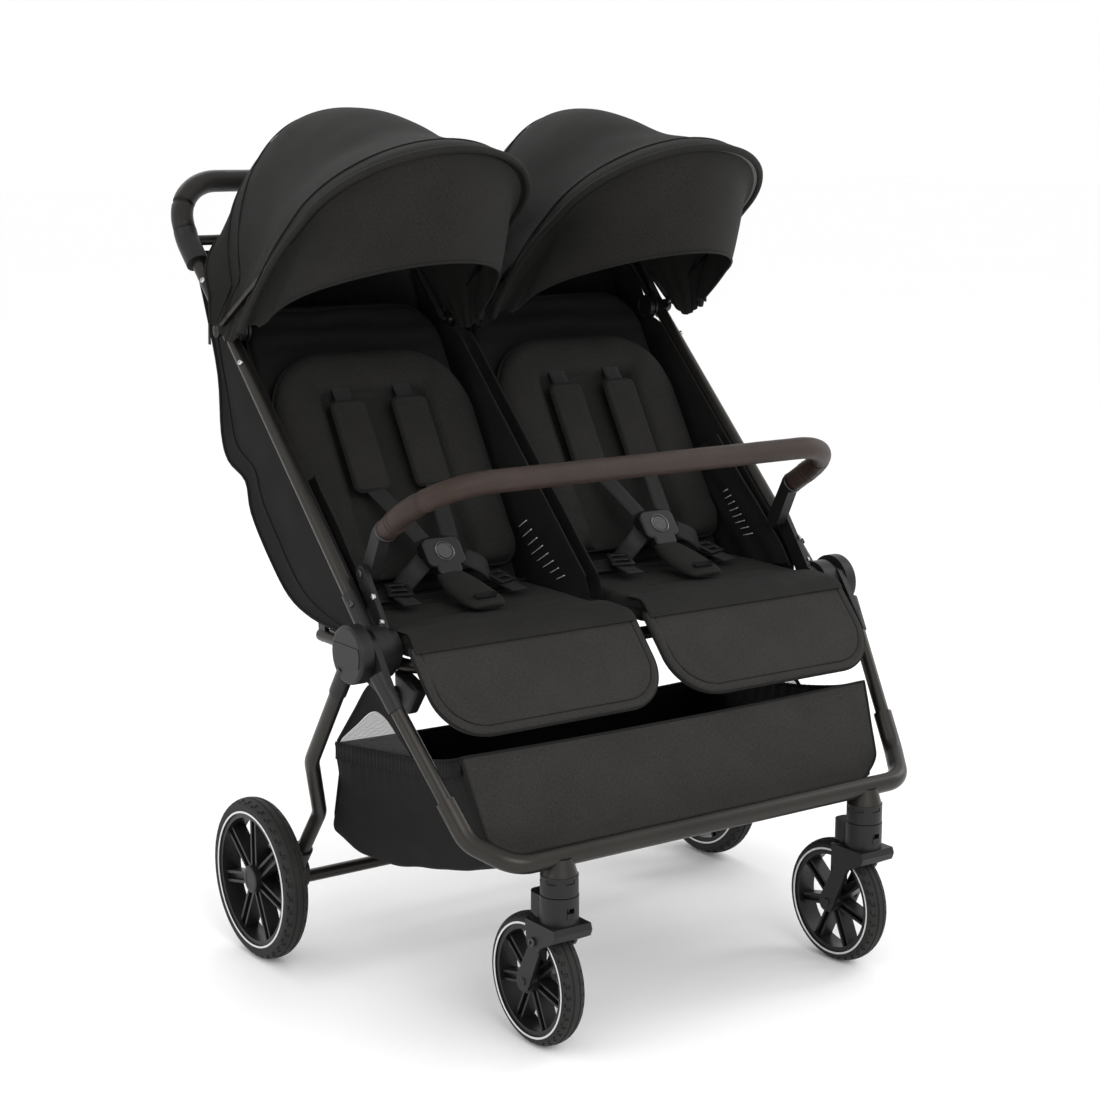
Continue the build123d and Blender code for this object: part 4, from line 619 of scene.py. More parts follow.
def curve_through(values, s):
    """Catmull-Rom through rows of numbers, s from 0 to 1."""
    place = min(max(s, 0.0), 1.0) * (len(values) - 1)
    i = min(int(place), len(values) - 2)
    t = place - i
    rows = [values[min(max(i + k, 0), len(values) - 1)] for k in (-1, 0, 1, 2)]
    result = []
    for a, b, c, d in zip(*rows):
        result.append(
            b + 0.5 * t * (c - a + t * (2 * a - 5 * b + 4 * c - d + t * (3 * (b - c) + d - a)))
        )
    return result


CANOPY_X = 0.1815
CANOPY_PIVOT = (0.3012, 0.772)
SIDE_SHARE = 0.24
FOOT_BEND = 0.095
DOME_STATIONS = [
    (36.2, 369.0, 139.0, 23.0, 0.0),
    (39.5, 359.0, 141.0, 24.0, 0.0),
    (45.0, 328.0, 147.0, 28.0, 0.0),
    (54.0, 295.0, 158.0, 32.0, 7.0),
    (66.0, 281.0, 177.0, 36.0, 10.0),
    (79.0, 272.0, 191.0, 36.5, 7.0),
    (92.0, 264.5, 198.0, 36.0, 0.0),
    (104.0, 244.0, 184.0, 34.0, 0.0),
    (116.0, 205.0, 153.0, 24.0, 0.0),
    (127.0, 176.0, 122.0, 12.0, 0.0),
]
VISOR_STATIONS = [
    (36.9, 363.0, 140.0, 23.5, 0.0, 168.5),
    (35.0, 351.0, 168.0, 24.0, 0.0, 162.0),
    (30.0, 331.0, 192.0, 19.0, 0.0, 160.6),
    (25.0, 310.0, 212.0, 13.0, 0.0, 160.6),
    (18.5, 286.0, 228.0, 7.0, 0.0, 160.6),
]


def on_arch(side, station, across, half, start=12.0, lift=0.0):
    """A point of a canopy section. across runs from -1 to 1, lift is outwards, in mm.
    The crown is pulled towards the middle plane, and the feet bend forward."""
    angle, reach, crown, lean, pull = station
    shoulder = reach - crown
    top = half - lean
    w = abs(across)
    if w > 1 - SIDE_SHARE:
        t = (1 - w) / SIDE_SHARE
        x, y = half - (half - top) * t + lift, start + (shoulder - start) * t
    else:
        turn = pi / 2 * (1 - w / (1 - SIDE_SHARE))
        x, y = (top + lift) * cos(turn), shoulder + (crown + lift) * sin(turn)
    x = x if across > 0 else -x
    if w <= 1 - SIDE_SHARE:
        x -= side * pull * sin(turn)
    a = radians(angle)
    forward = FOOT_BEND * max(0.0, 1 - angle / 127) * max(0.0, 1 - y / 190) ** 1.5
    y, x = y / 1000, x / 1000
    return Vector((side * CANOPY_X + x, CANOPY_PIVOT[0] - cos(a) * y - forward, CANOPY_PIVOT[1] + sin(a) * y))


def wrinkle(point, size, seed=0.0):
    return noise.noise(Vector((point.x / size + seed, point.y / size, point.z / size)))


for name, side in (("left", -1), ("right", 1)):
    rows, inner_rows = [], []
    for i in range(45):
        s = i / 44
        station = curve_through(DOME_STATIONS, s)
        row = []
        for k in range(61):
            across = -1 + k / 30
            flat = on_arch(side, station, across, 172.2)
            foot = 12.0 - 24.0 * sin(pi * s)
            slack = wrinkle(flat, 0.05, side) * 1.6 * sin(pi * min(s * 4, 1.0) / 2)
            gather = max(0.0, abs(across) - 0.72) / 0.28
            slack += gather * 1.8 * sin(i * 0.9 + 2 * wrinkle(flat, 0.03, 5.0))
            row.append(on_arch(side, station, across, 172.2 - 1.5 * gather, start=foot, lift=slack))
        rows.append(row)
    shell = sew(f"canopy_cloth_{name}", rows, charcoal_twill, 0.0014)
    rim = [on_arch(side, (36.8, 366.5, 138.5, 23.5, 0.0), -1 + k / 36, 171.0, start=6.0) for k in range(73)]
    front_tunnel = welt(f"canopy_tunnel_{name}", rim, 0.0045, charcoal_twill, sides=10)
    front_seam = [on_arch(side, curve_through(DOME_STATIONS, 0.155), -1 + k / 36, 172.2, lift=0.6) for k in range(73)]
    front_piping = welt(f"canopy_piping_{name}", front_seam, 0.0012, piping_cloth)
    zip_rows = []
    for s in (0.800, 0.806, 0.812, 0.818, 0.824):
        lift = 1.6 if 0.803 < s < 0.821 else 0.4
        station = curve_through(DOME_STATIONS, s)
        zip_rows.append([on_arch(side, station, -0.985 + k / 40 * 0.985, 172.2, lift=lift) for k in range(81)])
    zip_tape = sew(f"canopy_zip_{name}", zip_rows, piping_cloth, 0.0012, 0)
    rear = [on_arch(side, DOME_STATIONS[-1], -1 + k / 36, 172.2) for k in range(73)]
    rear_piping = welt(f"canopy_rear_hem_{name}", rear, 0.0018, piping_cloth)
    second_line = [on_arch(side, curve_through(DOME_STATIONS, 0.70), -1 + k / 36, 172.2, lift=0.5) for k in range(73)]
    second_seam = welt(f"canopy_seam_{name}", second_line, 0.0009, piping_cloth)
    hang(rows)
    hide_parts(f"canopy_shell_{name}")
    front_body = f"canopy_front_{name}"
    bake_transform(shell)
    for trim in (front_tunnel, front_piping):
        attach(trim, front_body)
    for trim in (zip_tape, rear_piping, second_seam):
        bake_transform(trim)

    rows = []
    for i in range(17):
        *station, half = curve_through(VISOR_STATIONS, i / 16)
        row = []
        for k in range(57):
            across = -1 + k / 28
            flat = on_arch(side, station, across, half)
            row.append(on_arch(side, station, across, half, start=12.0 + 1.6 * i, lift=wrinkle(flat, 0.07, 3.0) * 0.9))
        rows.append(row)
    visor = sew(f"canopy_visor_{name}", rows, charcoal_twill, 0.0016, flip=True)
    hem_line = [on_arch(side, VISOR_STATIONS[-1][:5], -1 + k / 36, 160.0, start=37.6) for k in range(73)]
    hem = welt(f"visor_hem_{name}", hem_line, 0.0017, charcoal_twill)
    hang(rows)
    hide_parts(f"canopy_extension_{name}")
    for piece in (visor, hem):
        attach(piece, front_body)
        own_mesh(piece)

    for number in range(3):
        bpy.ops.mesh.primitive_cylinder_add(vertices=40, radius=0.0155 - 0.0012 * (number == 1), depth=0.0034, rotation=(0, pi / 2, 0))
        disc = bpy.context.object
        bpy.ops.object.transform_apply(rotation=True)
        to_edit(disc)
        choose(disc, lambda at, up: abs(up.x) > 0.9)
        bpy.ops.mesh.inset(thickness=0.0022, depth=0.0)
        bpy.ops.mesh.inset(thickness=0.0006, depth=-0.0006)
        leave_edit()
        disc.location = (side * (0.3112 + 0.0046 * number), *CANOPY_PIVOT)
        settle(disc, f"canopy_ratchet_{name}_{number}", "push_assembly", moulding)
    bpy.ops.mesh.primitive_cube_add(size=1.0)
    pull = bpy.context.object
    pull.scale = (0.0022, 0.0052, 0.026)
    bpy.ops.object.transform_apply(scale=True)
    to_edit(pull)
    choose(pull, lambda at, up: up.z > 0.9)
    bpy.ops.transform.resize(value=(1, 0.5, 1))
    bpy.ops.mesh.select_all(action="SELECT")
    bpy.ops.mesh.bevel(offset=0.0008, segments=2, affect="EDGES")
    leave_edit()
    pull.location = (side * 0.3555, 0.3085, 0.768)
    settle(pull, f"zip_pull_{name}", "push_assembly", moulding)

# Seat shells. Black cloth walls hang from the push tubes and the middle post, and meet
# the back cloth at a bound seam. Each wall is gathered at the canopy's pivot.
SHELL_BACK = [
    (0.413, 0.864), (0.380, 0.790), (0.352, 0.712), (0.347, 0.640), (0.330, 0.607), (0.286, 0.587),
    (0.272, 0.548), (0.228, 0.499), (0.180, 0.460), (0.126, 0.4435), (0.060, 0.438),
]
SHELL_REACH = (0.030, 0.587)
SHELL_OUT, SHELL_IN = 0.3238, 0.0078


def shell_front(s):
    """The wall's edge beside the push tube, tucked under the canopy's clamp."""
    reach = SHELL_REACH[1] + (SHELL_REACH[0] - SHELL_REACH[1]) * s
    tuck = 0.015 * max(0.0, 1 - abs(reach - 0.4785) / 0.034)
    tuck += 0.014 * max(0.0, (s - 0.965) / 0.035) + 0.012 * max(0.0, 1 - s / 0.03)
    at = HUB + PUSH_WAY * reach
    return Vector((0, at.y + tuck * sin(PUSH_SLOPE), at.z - tuck * cos(PUSH_SLOPE)))


def shell_back(s):
    y, z = curve_through(SHELL_BACK, s)
    return Vector((0, y, z))


reflective, maths, shader = new_finish("reflective_yarn", {"Metallic": 0.2})
place = maths.node("ShaderNodeTexCoord", output="Object")
twist = maths.noise(place, 1800.0, 2.0)
wire(twist.mix(colour(0.42), colour(0.72)), shader, "Base Color")
wire(twist * 0.2 + 0.3, shader, "Roughness")

for name, side in (("left", -1), ("right", 1)):
    for where, x in (("outer", SHELL_OUT), ("inner", SHELL_IN)):
        rows = []
        inward = -1 if where == "outer" else 1
        for i in range(41):
            s = i / 40
            front, back = shell_front(s), shell_back(s)
            row = []
            for k in range(29):
                t = k / 28
                at = front.lerp(back, t)
                hem = min(1.0, t * 6, (1 - t) * 6, s * 8 + 0.1, max(0.86 - s, 0.0) * 8)
                fold = 0.0022 * wrinkle(at, 0.045, x) + 0.0014 * sin(i * 0.8 + 6 * t) * (1 - t)
                at = at + Vector((side * (x + inward * (0.0016 + hem * (0.002 + fold))), 0, 0))
                row.append(at)
            rows.append(row)
        wall = sew(f"seat_wall_{where}_{name}", rows, black_cloth, 0.0014, flip=(side > 0) == (where == "outer"))
        binding = welt(f"wall_binding_{where}_{name}", [row[-1] for row in rows], 0.0020, piping_cloth)
        edge = welt(f"wall_edge_{where}_{name}", [row[0] for row in rows[2:-2]], 0.0014, piping_cloth)
        hang(rows)
        pieces = [wall, binding, edge]
        if where == "inner":
            for i in range(30, 38):
                line = [rows[i][k] + Vector((side * 0.0022, 0, 0)) for k in range(9, 16 - abs(34 - i) // 2)]
                pieces.append(welt(f"reflective_yarn_inner_{name}_{i}", line, 0.0006, reflective, sides=6))
        if where == "outer":
            seam_points = [row[22] + Vector((side * 0.0006, 0, 0)) for row in rows]
            pieces.append(welt(f"wall_seam_{name}", seam_points, 0.0009, piping_cloth))
        for piece in pieces:
            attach(piece, "push_assembly")
            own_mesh(piece)
        if where == "outer" and side > 0:
            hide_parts("seat_shells")
    rows = []
    for i in range(41):
        s = i / 40
        back = shell_back(s)
        ahead = shell_back(min(s + 0.02, 1.0)) - shell_back(max(s - 0.02, 0.0))
        out = Vector((0, -ahead.z, ahead.y)).normalized() * -1
        row = []
        for k in range(41):
            t = k / 40
            x = SHELL_IN + 0.002 + (SHELL_OUT - SHELL_IN - 0.004) * t
            belly = sin(pi * t)
            at = back + Vector((side * x, 0, 0))
            sag = -0.004 * belly + 0.0025 * wrinkle(at, 0.06, 7.0) * min(1.0, belly * 3)
            row.append(at + out * sag)
        rows.append(row)
    panel = sew(f"seat_back_cloth_{name}", rows, black_cloth, 0.0014, flip=side > 0)
    hang(rows)
    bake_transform(panel)

# Seat pads. Foam in charcoal twill: a horseshoe bolster with piping runs round a
# hollowed middle, and two bound slots pass the harness through to the board.
BACK_TILT = radians(59.0)
BACK_PIVOT = Vector((0.0, 0.132, 0.451))
SEAT_X = 0.165
STRAP_X, SLOT_ROW = 0.044, 0.284


def back_frame(side):
    """Local x across, y up the backrest, z out of its face."""
    up = Vector((0, cos(BACK_TILT), sin(BACK_TILT)))
    out = Vector((0, -sin(BACK_TILT), cos(BACK_TILT)))
    turn = Matrix((Vector((1, 0, 0)), up, out)).transposed().to_4x4()
    return Matrix.Translation(BACK_PIVOT + Vector((side * SEAT_X, 0, 0))) @ turn


def edge_gap(x, y, width, length, corner):
    """The distance from (x, y) in to the edge of a rounded rectangle."""
    dx = abs(x) - width / 2 + corner
    dy = abs(y) - length / 2 + corner
    outside = hypot(max(dx, 0.0), max(dy, 0.0))
    return corner - outside - min(max(dx, dy), 0.0)


def stuff(name, size, corners, heights, roll, relief, place, finish, step=0.005):
    """A stuffed pad: size across and along, corner radius at the low and high end,
    heights of its under and upper face, the edge's roll and the upper face's relief."""
    width, length = size
    columns, count = int(width / step), int(length / step)
    tops, lows = [], []
    for j in range(count + 1):
        t = j / count
        t = 0.8 * t + 0.2 * (0.5 - 0.5 * cos(pi * t))
        y = (t - 0.5) * length
        corner = corners[0] if y < 0 else corners[1]
        inside = max(abs(y) - length / 2 + corner, 0.0)
        half = width / 2 - corner + sqrt(max(corner * corner - inside * inside, 0.0))
        top, low = [], []
        for i in range(columns + 1):
            u = i / columns
            u = 0.8 * u + 0.2 * (0.5 - 0.5 * cos(pi * u))
            x = (2 * u - 1) * half
            gap = edge_gap(x, y, width, length, corner)
            if i in (0, columns) or j in (0, count):
                gap = 0.0
            s = min(max(gap / roll, 0.0), 1.0)
            swell = sqrt(max(1 - (1 - s) ** 2, 0.0))
            middle = heights[0] * 0.4 + heights[1] * 0.6 if heights[0] else 0.004
            high = middle + (heights[1] - middle + relief(x, y, gap)) * swell
            base = middle + (heights[0] - middle) * swell
            top.append(place @ Vector((x, y, high)))
            low.append(place @ Vector((x, y, base)))
        tops.append(top)
        lows.append(low)
    across = columns + 1
    verts = [p for row in tops for p in row]
    faces, where = [], {}
    for j in range(count):
        for i in range(columns):
            faces.append((j * across + i, j * across + i + 1, (j + 1) * across + i + 1, (j + 1) * across + i))
    for j in range(count + 1):
        for i in range(across):
            if i in (0, columns) or j in (0, count):
                where[i, j] = j * across + i
            else:
                where[i, j] = len(verts)
                verts.append(lows[j][i])
    for j in range(count):
        for i in range(columns):
            faces.append((where[i, j], where[i, j + 1], where[i + 1, j + 1], where[i + 1, j]))
    mesh = bpy.data.meshes.new(name)
    mesh.from_pydata([tuple(v) for v in verts], [], faces)
    back = place.inverted()
    layer = mesh.uv_layers.new(name="metres")
    for loop in mesh.loops:
        local = back @ mesh.vertices[loop.vertex_index].co
        layer.data[loop.index].uv = (local.x, local.y)
    for face in mesh.polygons:
        face.use_smooth = True
    piece = bpy.data.objects.new(name, mesh)
    bpy.context.scene.collection.objects.link(piece)
    mesh.materials.append(finish)
    return piece


def outline(size, corners, inset, height, place, count=22):
    """Points round a rounded rectangle, drawn in by inset, at a height."""
    width, length = size[0] / 2 - inset, size[1] / 2 - inset
    points = []
    for number, (sx, sy) in enumerate(((1, 1), (-1, 1), (-1, -1), (1, -1))):
        corner = max((corners[1] if sy > 0 else corners[0]) - inset, 0.002)
        for k in range(count):
            a = pi / 2 * (number + k / (count - 1))
            x, y = sx * (width - corner) + corner * cos(a), sy * (length - corner) + corner * sin(a)
            z = height(x, y) if callable(height) else height
            points.append(place @ Vector((x, y, z)))
    return points


def soft_step(value, low, high):
    t = min(max((value - low) / (high - low), 0.0), 1.0)
    return t * t * (3 - 2 * t)


def groove(value, width):
    return 2.718 ** -((value / width) ** 2)


PAD_SIZE = (0.284, 0.300)
BOARD_SIZE = (0.280, 0.395)


def horseshoe(x, y, gap):
    """The back pad's relief: high bolsters, a hollow middle and the seams between."""
    top_gap = PAD_SIZE[1] / 2 - y + 0.020
    side_gap = min(PAD_SIZE[0] / 2 - abs(x) + 0.004, top_gap) - 3.0 * max(0.0, 0.0) ** 2
    bulge = sin(pi * min(max(side_gap, 0.0) / 0.078, 1.0)) ** 0.7
    hollow = soft_step(side_gap, 0.062, 0.084)
    seam = groove(side_gap - 0.078, 0.0030)
    foot = soft_step(-y, 0.05, 0.13) * (1 - hollow)
    quilt = 0.0015 * noise.noise(Vector((x * 26, y * 22, 3.0)))
    crease = 0.0016 * sin(y * 150 + 5 * noise.noise(Vector((x * 9, y * 9, 8.0)))) * foot
    return -0.0030 + 0.0085 * bulge - 0.0085 * hollow - 0.0035 * seam + 0.005 * foot + quilt + crease


for name, side in (("left", -1), ("right", 1)):
    frame_at = back_frame(side)
    board_at = frame_at @ Matrix.Translation((0, 0.1975, 0))

    def board_relief(x, y, gap):
        crease = 0.0018 * sin(y * 210 + 2 * noise.noise(Vector((x * 12, y * 10, side)))) * soft_step(y, 0.10, 0.15)
        return crease * (1 - 0.4 * abs(x) / 0.13) - 0.001

    board = stuff(f"back_board_{name}", BOARD_SIZE, (0.008, 0.056), (-0.010, 0.010), 0.009, board_relief, board_at, black_cloth)
    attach(board, f"back_{name}")
    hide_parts(f"backrest_{name}")
    rim_line = outline(BOARD_SIZE, (0.008, 0.056), 0.0005, 0.003, board_at)
    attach(welt(f"board_piping_{name}", rim_line, 0.0017, piping_cloth, closed=True), f"back_{name}")

    pad_at = frame_at @ Matrix.Translation((0, 0.170, 0))
    back_pad = stuff(f"back_pad_{name}", PAD_SIZE, (0.030, 0.088), (0.0098, 0.030), 0.016, horseshoe, pad_at, charcoal_twill)
    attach(back_pad, f"back_{name}")
    pad_line = outline(PAD_SIZE, (0.030, 0.088), -0.0006, 0.021, pad_at)
    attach(welt(f"pad_piping_{name}", pad_line, 0.0019, piping_cloth, closed=True), f"back_{name}")
    for offset in (-STRAP_X, STRAP_X):
        slot_at = frame_at @ Matrix.Translation((offset, SLOT_ROW, 0.0262))
        frame_piece = stuff(
            f"slot_patch_{name}_{'a' if offset < 0 else 'b'}",
            (0.040, 0.016),
            (0.005, 0.005),
            (0.0, 0.0012),
            0.002,
            lambda x, y, gap: -0.0022 * soft_step(gap, 0.0035, 0.0055),
            slot_at,
            black_cloth,
            0.0015,
        )
        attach(frame_piece, f"back_{name}")

# Seat cushions. Quilted foam in charcoal twill with two sewn cross channels.
BASE_SIZE = (0.288, 0.195)


def base_relief(x, y, gap):
    channels = groove(y + 0.020, 0.0035) + groove(y - 0.045, 0.0035)
    inside = soft_step(0.115 - abs(x), 0.0, 0.012)
    puff = 0.002 * noise.noise(Vector((x * 14, y * 18, 9.0)))
    return -0.005 * channels * inside + puff - 0.0022


for name, side in (("left", -1), ("right", 1)):
    base_at = Matrix.Translation((side * SEAT_X, 0.0215, 0.0))
    cushion = stuff(f"seat_cushion_{name}", BASE_SIZE, (0.022, 0.022), (0.4265, 0.4585), 0.013, base_relief, base_at, charcoal_twill)
    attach(cushion, "chassis")
    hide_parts(f"seat_base_{name}")
    line = outline(BASE_SIZE, (0.022, 0.022), 0.0, 0.4455, base_at)
    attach(welt(f"cushion_piping_{name}", line, 0.0018, piping_cloth, closed=True), "chassis")

# Calf rests. A stiff board in charcoal twill, piped round its edge and top stitched
# a finger's width inside it, hinged below the seat's front edge.
CALF_SIZE = (0.315, 0.122)
CALF_DROP = radians(48.0)
CALF_HINGE = Vector((0.0, -0.0885, 0.446))


def calf_relief(x, y, gap):
    return -0.0012 * groove(gap - 0.011, 0.0016) + 0.0008 * noise.noise(Vector((x * 18, y * 18, 1.0)))


for name, side in (("left", -1), ("right", 1)):
    face = Vector((0, -sin(CALF_DROP), cos(CALF_DROP)))
    up = Vector((0, cos(CALF_DROP), sin(CALF_DROP)))
    middle = CALF_HINGE - up * 0.061 + Vector((side * 0.1646, 0, 0))
    calf_at = Matrix.Translation(middle) @ Matrix((Vector((1, 0, 0)), up, face)).transposed().to_4x4()
    calf = stuff(f"calf_board_{name}", CALF_SIZE, (0.062, 0.006), (-0.0060, 0.0062), 0.005, calf_relief, calf_at, panel_twill, 0.004)
    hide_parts(f"calf_rest_{name}")
    line = outline(CALF_SIZE, (0.062, 0.006), 0.0006, 0.0014, calf_at)
    edge = welt(f"calf_piping_{name}", line, 0.0019, piping_cloth, closed=True)
    inner = outline(CALF_SIZE, (0.062, 0.006), 0.0110, 0.0056, calf_at)
    seam = welt(f"calf_seam_{name}", inner, 0.0006, piping_cloth, closed=True, sides=6)
    rows = []
    apron_line = [(-0.040, 0.4570), (-0.058, 0.4586), (-0.074, 0.4580), (-0.087, 0.4548), (-0.096, 0.4500), (-0.1035, 0.4425)]
    for i in range(17):
        y, z = curve_through(apron_line, i / 16)
        half = 0.146 + 0.0085 * soft_step(i / 16, 0.3, 0.8)
        ring = []
        for k in range(49):
            x = side * 0.1646 + (k / 24 - 1) * half
            crease = 0.0010 * wrinkle(Vector((x, y, z)), 0.022, 2.0) * sin(pi * i / 16)
            ring.append(Vector((x, y, z + crease)))
        rows.append(ring)
    apron = sew(f"calf_hinge_cloth_{name}", rows, charcoal_twill, 0.0016, flip=True)
    hang(rows)
    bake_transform(apron)
    for piece in (calf, edge, seam):
        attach(piece, f"calf_{name}")

# Shoulder pads and crotch sleeves. Quilted sleeves of charcoal twill with piped edges.
# The webbing runs through them to a round five point buckle.
def pad_relief(x, y, gap):
    return 0.0008 * noise.noise(Vector((x * 40, y * 40, 4.0))) - 0.0012 * groove(gap - 0.007, 0.0014)


SHOULDER_SIZE = (0.050, 0.122)
BUCKLE_AT = Vector((0.0, 0.090, 0.505))
BUCKLE_TILT = radians(52.0)
BUCKLE_UP = Vector((0, cos(BUCKLE_TILT), sin(BUCKLE_TILT)))
BUCKLE_OUT = Vector((0, -sin(BUCKLE_TILT), cos(BUCKLE_TILT)))


def web_finish(name, dark, light):
    """Ribbed webbing: fine ribs across it and a heavier selvage on both edges."""
    made, maths, shader = new_finish(name, {"Sheen Weight": 0.01, "Specular IOR Level": 0.25})
    uv = maths.node("ShaderNodeTexCoord", output="UV")
    ribs = maths.node("ShaderNodeTexWave", {"bands_direction": "Y"}, {"Vector": uv, "Scale": 420.0, "Distortion": 0.3}, 1)
    cords = maths.node("ShaderNodeTexWave", {"bands_direction": "X"}, {"Vector": uv, "Scale": 190.0}, 1)
    cloud = maths.noise(uv, 40.0, 3.0)
    wire((ribs * 0.3 + cords * 0.2 + cloud * 0.5).mix(dark, light), shader, "Base Color")
    wire(0.72 - ribs * 0.15, shader, "Roughness")
    wire(maths.bump(ribs * 0.7 + cords * 0.5, 0.0002), shader, "Normal")
    return made


webbing = web_finish("harness_webbing", colour(0.003), colour(0.016, 0.0155, 0.015))


def ribbon(name, spine, normals, width, body, finish=None):
    """Flat webbing 1.8 mm thick along a spine, lying square to its normals."""
    rows = []
    for i in range(4 * (len(spine) - 1) + 1):
        s = i / (4 * (len(spine) - 1))
        at = Vector(curve_through(spine, s))
        ahead = Vector(curve_through(spine, min(s + 0.02, 1.0))) - Vector(curve_through(spine, max(s - 0.02, 0.0)))
        out = Vector(curve_through(normals, s)).normalized()
        across = ahead.cross(out).normalized()
        rows.append([at + across * width * (k / 4 - 0.5) for k in range(5)])
    strap = sew(name, rows, finish or webbing, 0.0016, 0)
    if body:
        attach(strap, body)
    return strap


for name, side in (("left", -1), ("right", 1)):
    frame_at = back_frame(side)
    pads, straps = [], []
    for mark, offset in (("a", -STRAP_X), ("b", STRAP_X)):
        # Painted shadow: a thin black sheet under each shoulder pad, shifted to +x so it shows as a dark strip along
        # that edge of the pad, where the pad's shadow falls.
        shadow_sheet_at = frame_at @ Matrix.Translation((offset + 0.003, 0.186, 0))
        under = stuff(f"pad_lining_{name}_{mark}", (0.051, 0.116), (0.008, 0.008), (0.0255, 0.0292), 0.002, pad_relief, shadow_sheet_at, black_cloth, 0.004)
        pad_at = frame_at @ Matrix.Translation((offset, 0.189, 0))
        pad = stuff(f"shoulder_pad_{name}_{mark}", SHOULDER_SIZE, (0.010, 0.010), (0.0294, 0.0400), 0.005, pad_relief, pad_at, charcoal_twill, 0.003)
        for piece in (under, pad):
            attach(piece, f"back_{name}")
        pads.append(pad)
        line = outline(SHOULDER_SIZE, (0.010, 0.010), 0.0, 0.0352, pad_at, 8)
        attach(welt(f"shoulder_piping_{name}_{mark}", line, 0.0013, piping_cloth, closed=True), f"back_{name}")
        top = [frame_at @ Vector((offset, y, z)) for y, z in ((0.287, 0.016), (0.285, 0.0268), (0.277, 0.0290), (0.262, 0.0300), (0.244, 0.0345))]
        out = [Vector((0, cos(BACK_TILT), sin(BACK_TILT)))] + [frame_at.to_3x3() @ Vector((0, 0.25, 1))] * 4
        ribbon(f"upper_strap_{name}_{mark}", [tuple(p) for p in top], [tuple(v) for v in out], 0.025, f"back_{name}")
        low_end = frame_at @ Vector((offset, 0.136, 0.0335))
        low_out = frame_at.to_3x3() @ Vector((0, 0, 1))
        edge = BUCKLE_AT + Vector((side * SEAT_X, 0, 0)) + BUCKLE_UP * 0.0215 + BUCKLE_OUT * 0.0075
        edge.x += 0.020 if offset > 0 else -0.020
        middle = low_end.lerp(edge, 0.5) + low_out * 0.002
        spine = [low_end, low_end.lerp(middle, 0.5), middle, middle.lerp(edge, 0.5), edge]
        outs = [low_out, low_out, low_out, BUCKLE_OUT, BUCKLE_OUT]
        strap = ribbon(f"shoulder_strap_{name}_{mark}", [tuple(p) for p in spine], [tuple(v) for v in outs], 0.024, None)
        straps.append(strap)
        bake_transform(strap)
        outward = 1 if offset > 0 else -1
        hip = Vector((side * SEAT_X + outward * 0.118, 0.098, 0.462))
        waist_edge = BUCKLE_AT + Vector((side * SEAT_X + outward * 0.028, 0, 0)) + BUCKLE_UP * -0.006 + BUCKLE_OUT * 0.007
        waist = [hip, hip + Vector((-outward * 0.018, -0.016, 0.006)), hip + Vector((-outward * 0.045, -0.022, 0.010))]
        waist += [waist_edge + Vector((outward * 0.022, -0.010, -0.012)), waist_edge]
        lean = [Vector((outward * 0.5, -0.5, 1)), Vector((0, -0.5, 1)), Vector((0, -0.5, 1)), BUCKLE_OUT, BUCKLE_OUT]
        ribbon(f"waist_strap_{name}_{mark}", [tuple(p) for p in waist], [tuple(v) for v in lean], 0.024, "chassis")
        tail_top = waist[2] + Vector((0, -0.004, 0.002))
        tail = [tail_top, tail_top + Vector((outward * 0.002, -0.020, -0.004)), tail_top + Vector((outward * 0.004, -0.044, -0.0075))]
        tail_out = [Vector((0, -0.15, 1))] * 3
        ribbon(f"strap_tail_{name}_{mark}", [tuple(p) for p in tail], [tuple(v) for v in tail_out], 0.024, "chassis")
        bpy.ops.mesh.primitive_plane_add(size=1.0)
        lock = bpy.context.object
        lock.scale = (0.031, 0.030, 1.0)
        bpy.ops.object.transform_apply(scale=True)
        to_edit(lock)
        bpy.ops.mesh.select_all(action="SELECT")
        bpy.ops.mesh.subdivide(number_cuts=4)
        choose(lock, lambda at, up: abs(at.x) < 0.0095 and abs(at.y) > 0.002 and abs(at.y) < 0.010)
        bpy.ops.mesh.delete(type="FACE")
        bpy.ops.mesh.select_all(action="SELECT")
        bpy.ops.mesh.extrude_region_move(TRANSFORM_OT_translate={"value": (0, 0, 0.0032)})
        bpy.ops.mesh.select_all(action="SELECT")
        bpy.ops.mesh.normals_make_consistent(inside=False)
        leave_edit()
        round_off = lock.modifiers.new("round", "BEVEL")
        round_off.width = 0.0011
        round_off.segments = 2
        bpy.ops.object.modifier_apply(modifier="round")
        lock.matrix_world = facing(tail_top + Vector((0, -0.006, 0.0012)), Vector((outward * 0.1, -0.3, 1)))
        settle(lock, f"ladder_lock_{name}_{mark}", "chassis", moulding)
    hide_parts(f"shoulder_pads_{name}")
    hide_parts(f"harness_straps_{name}")

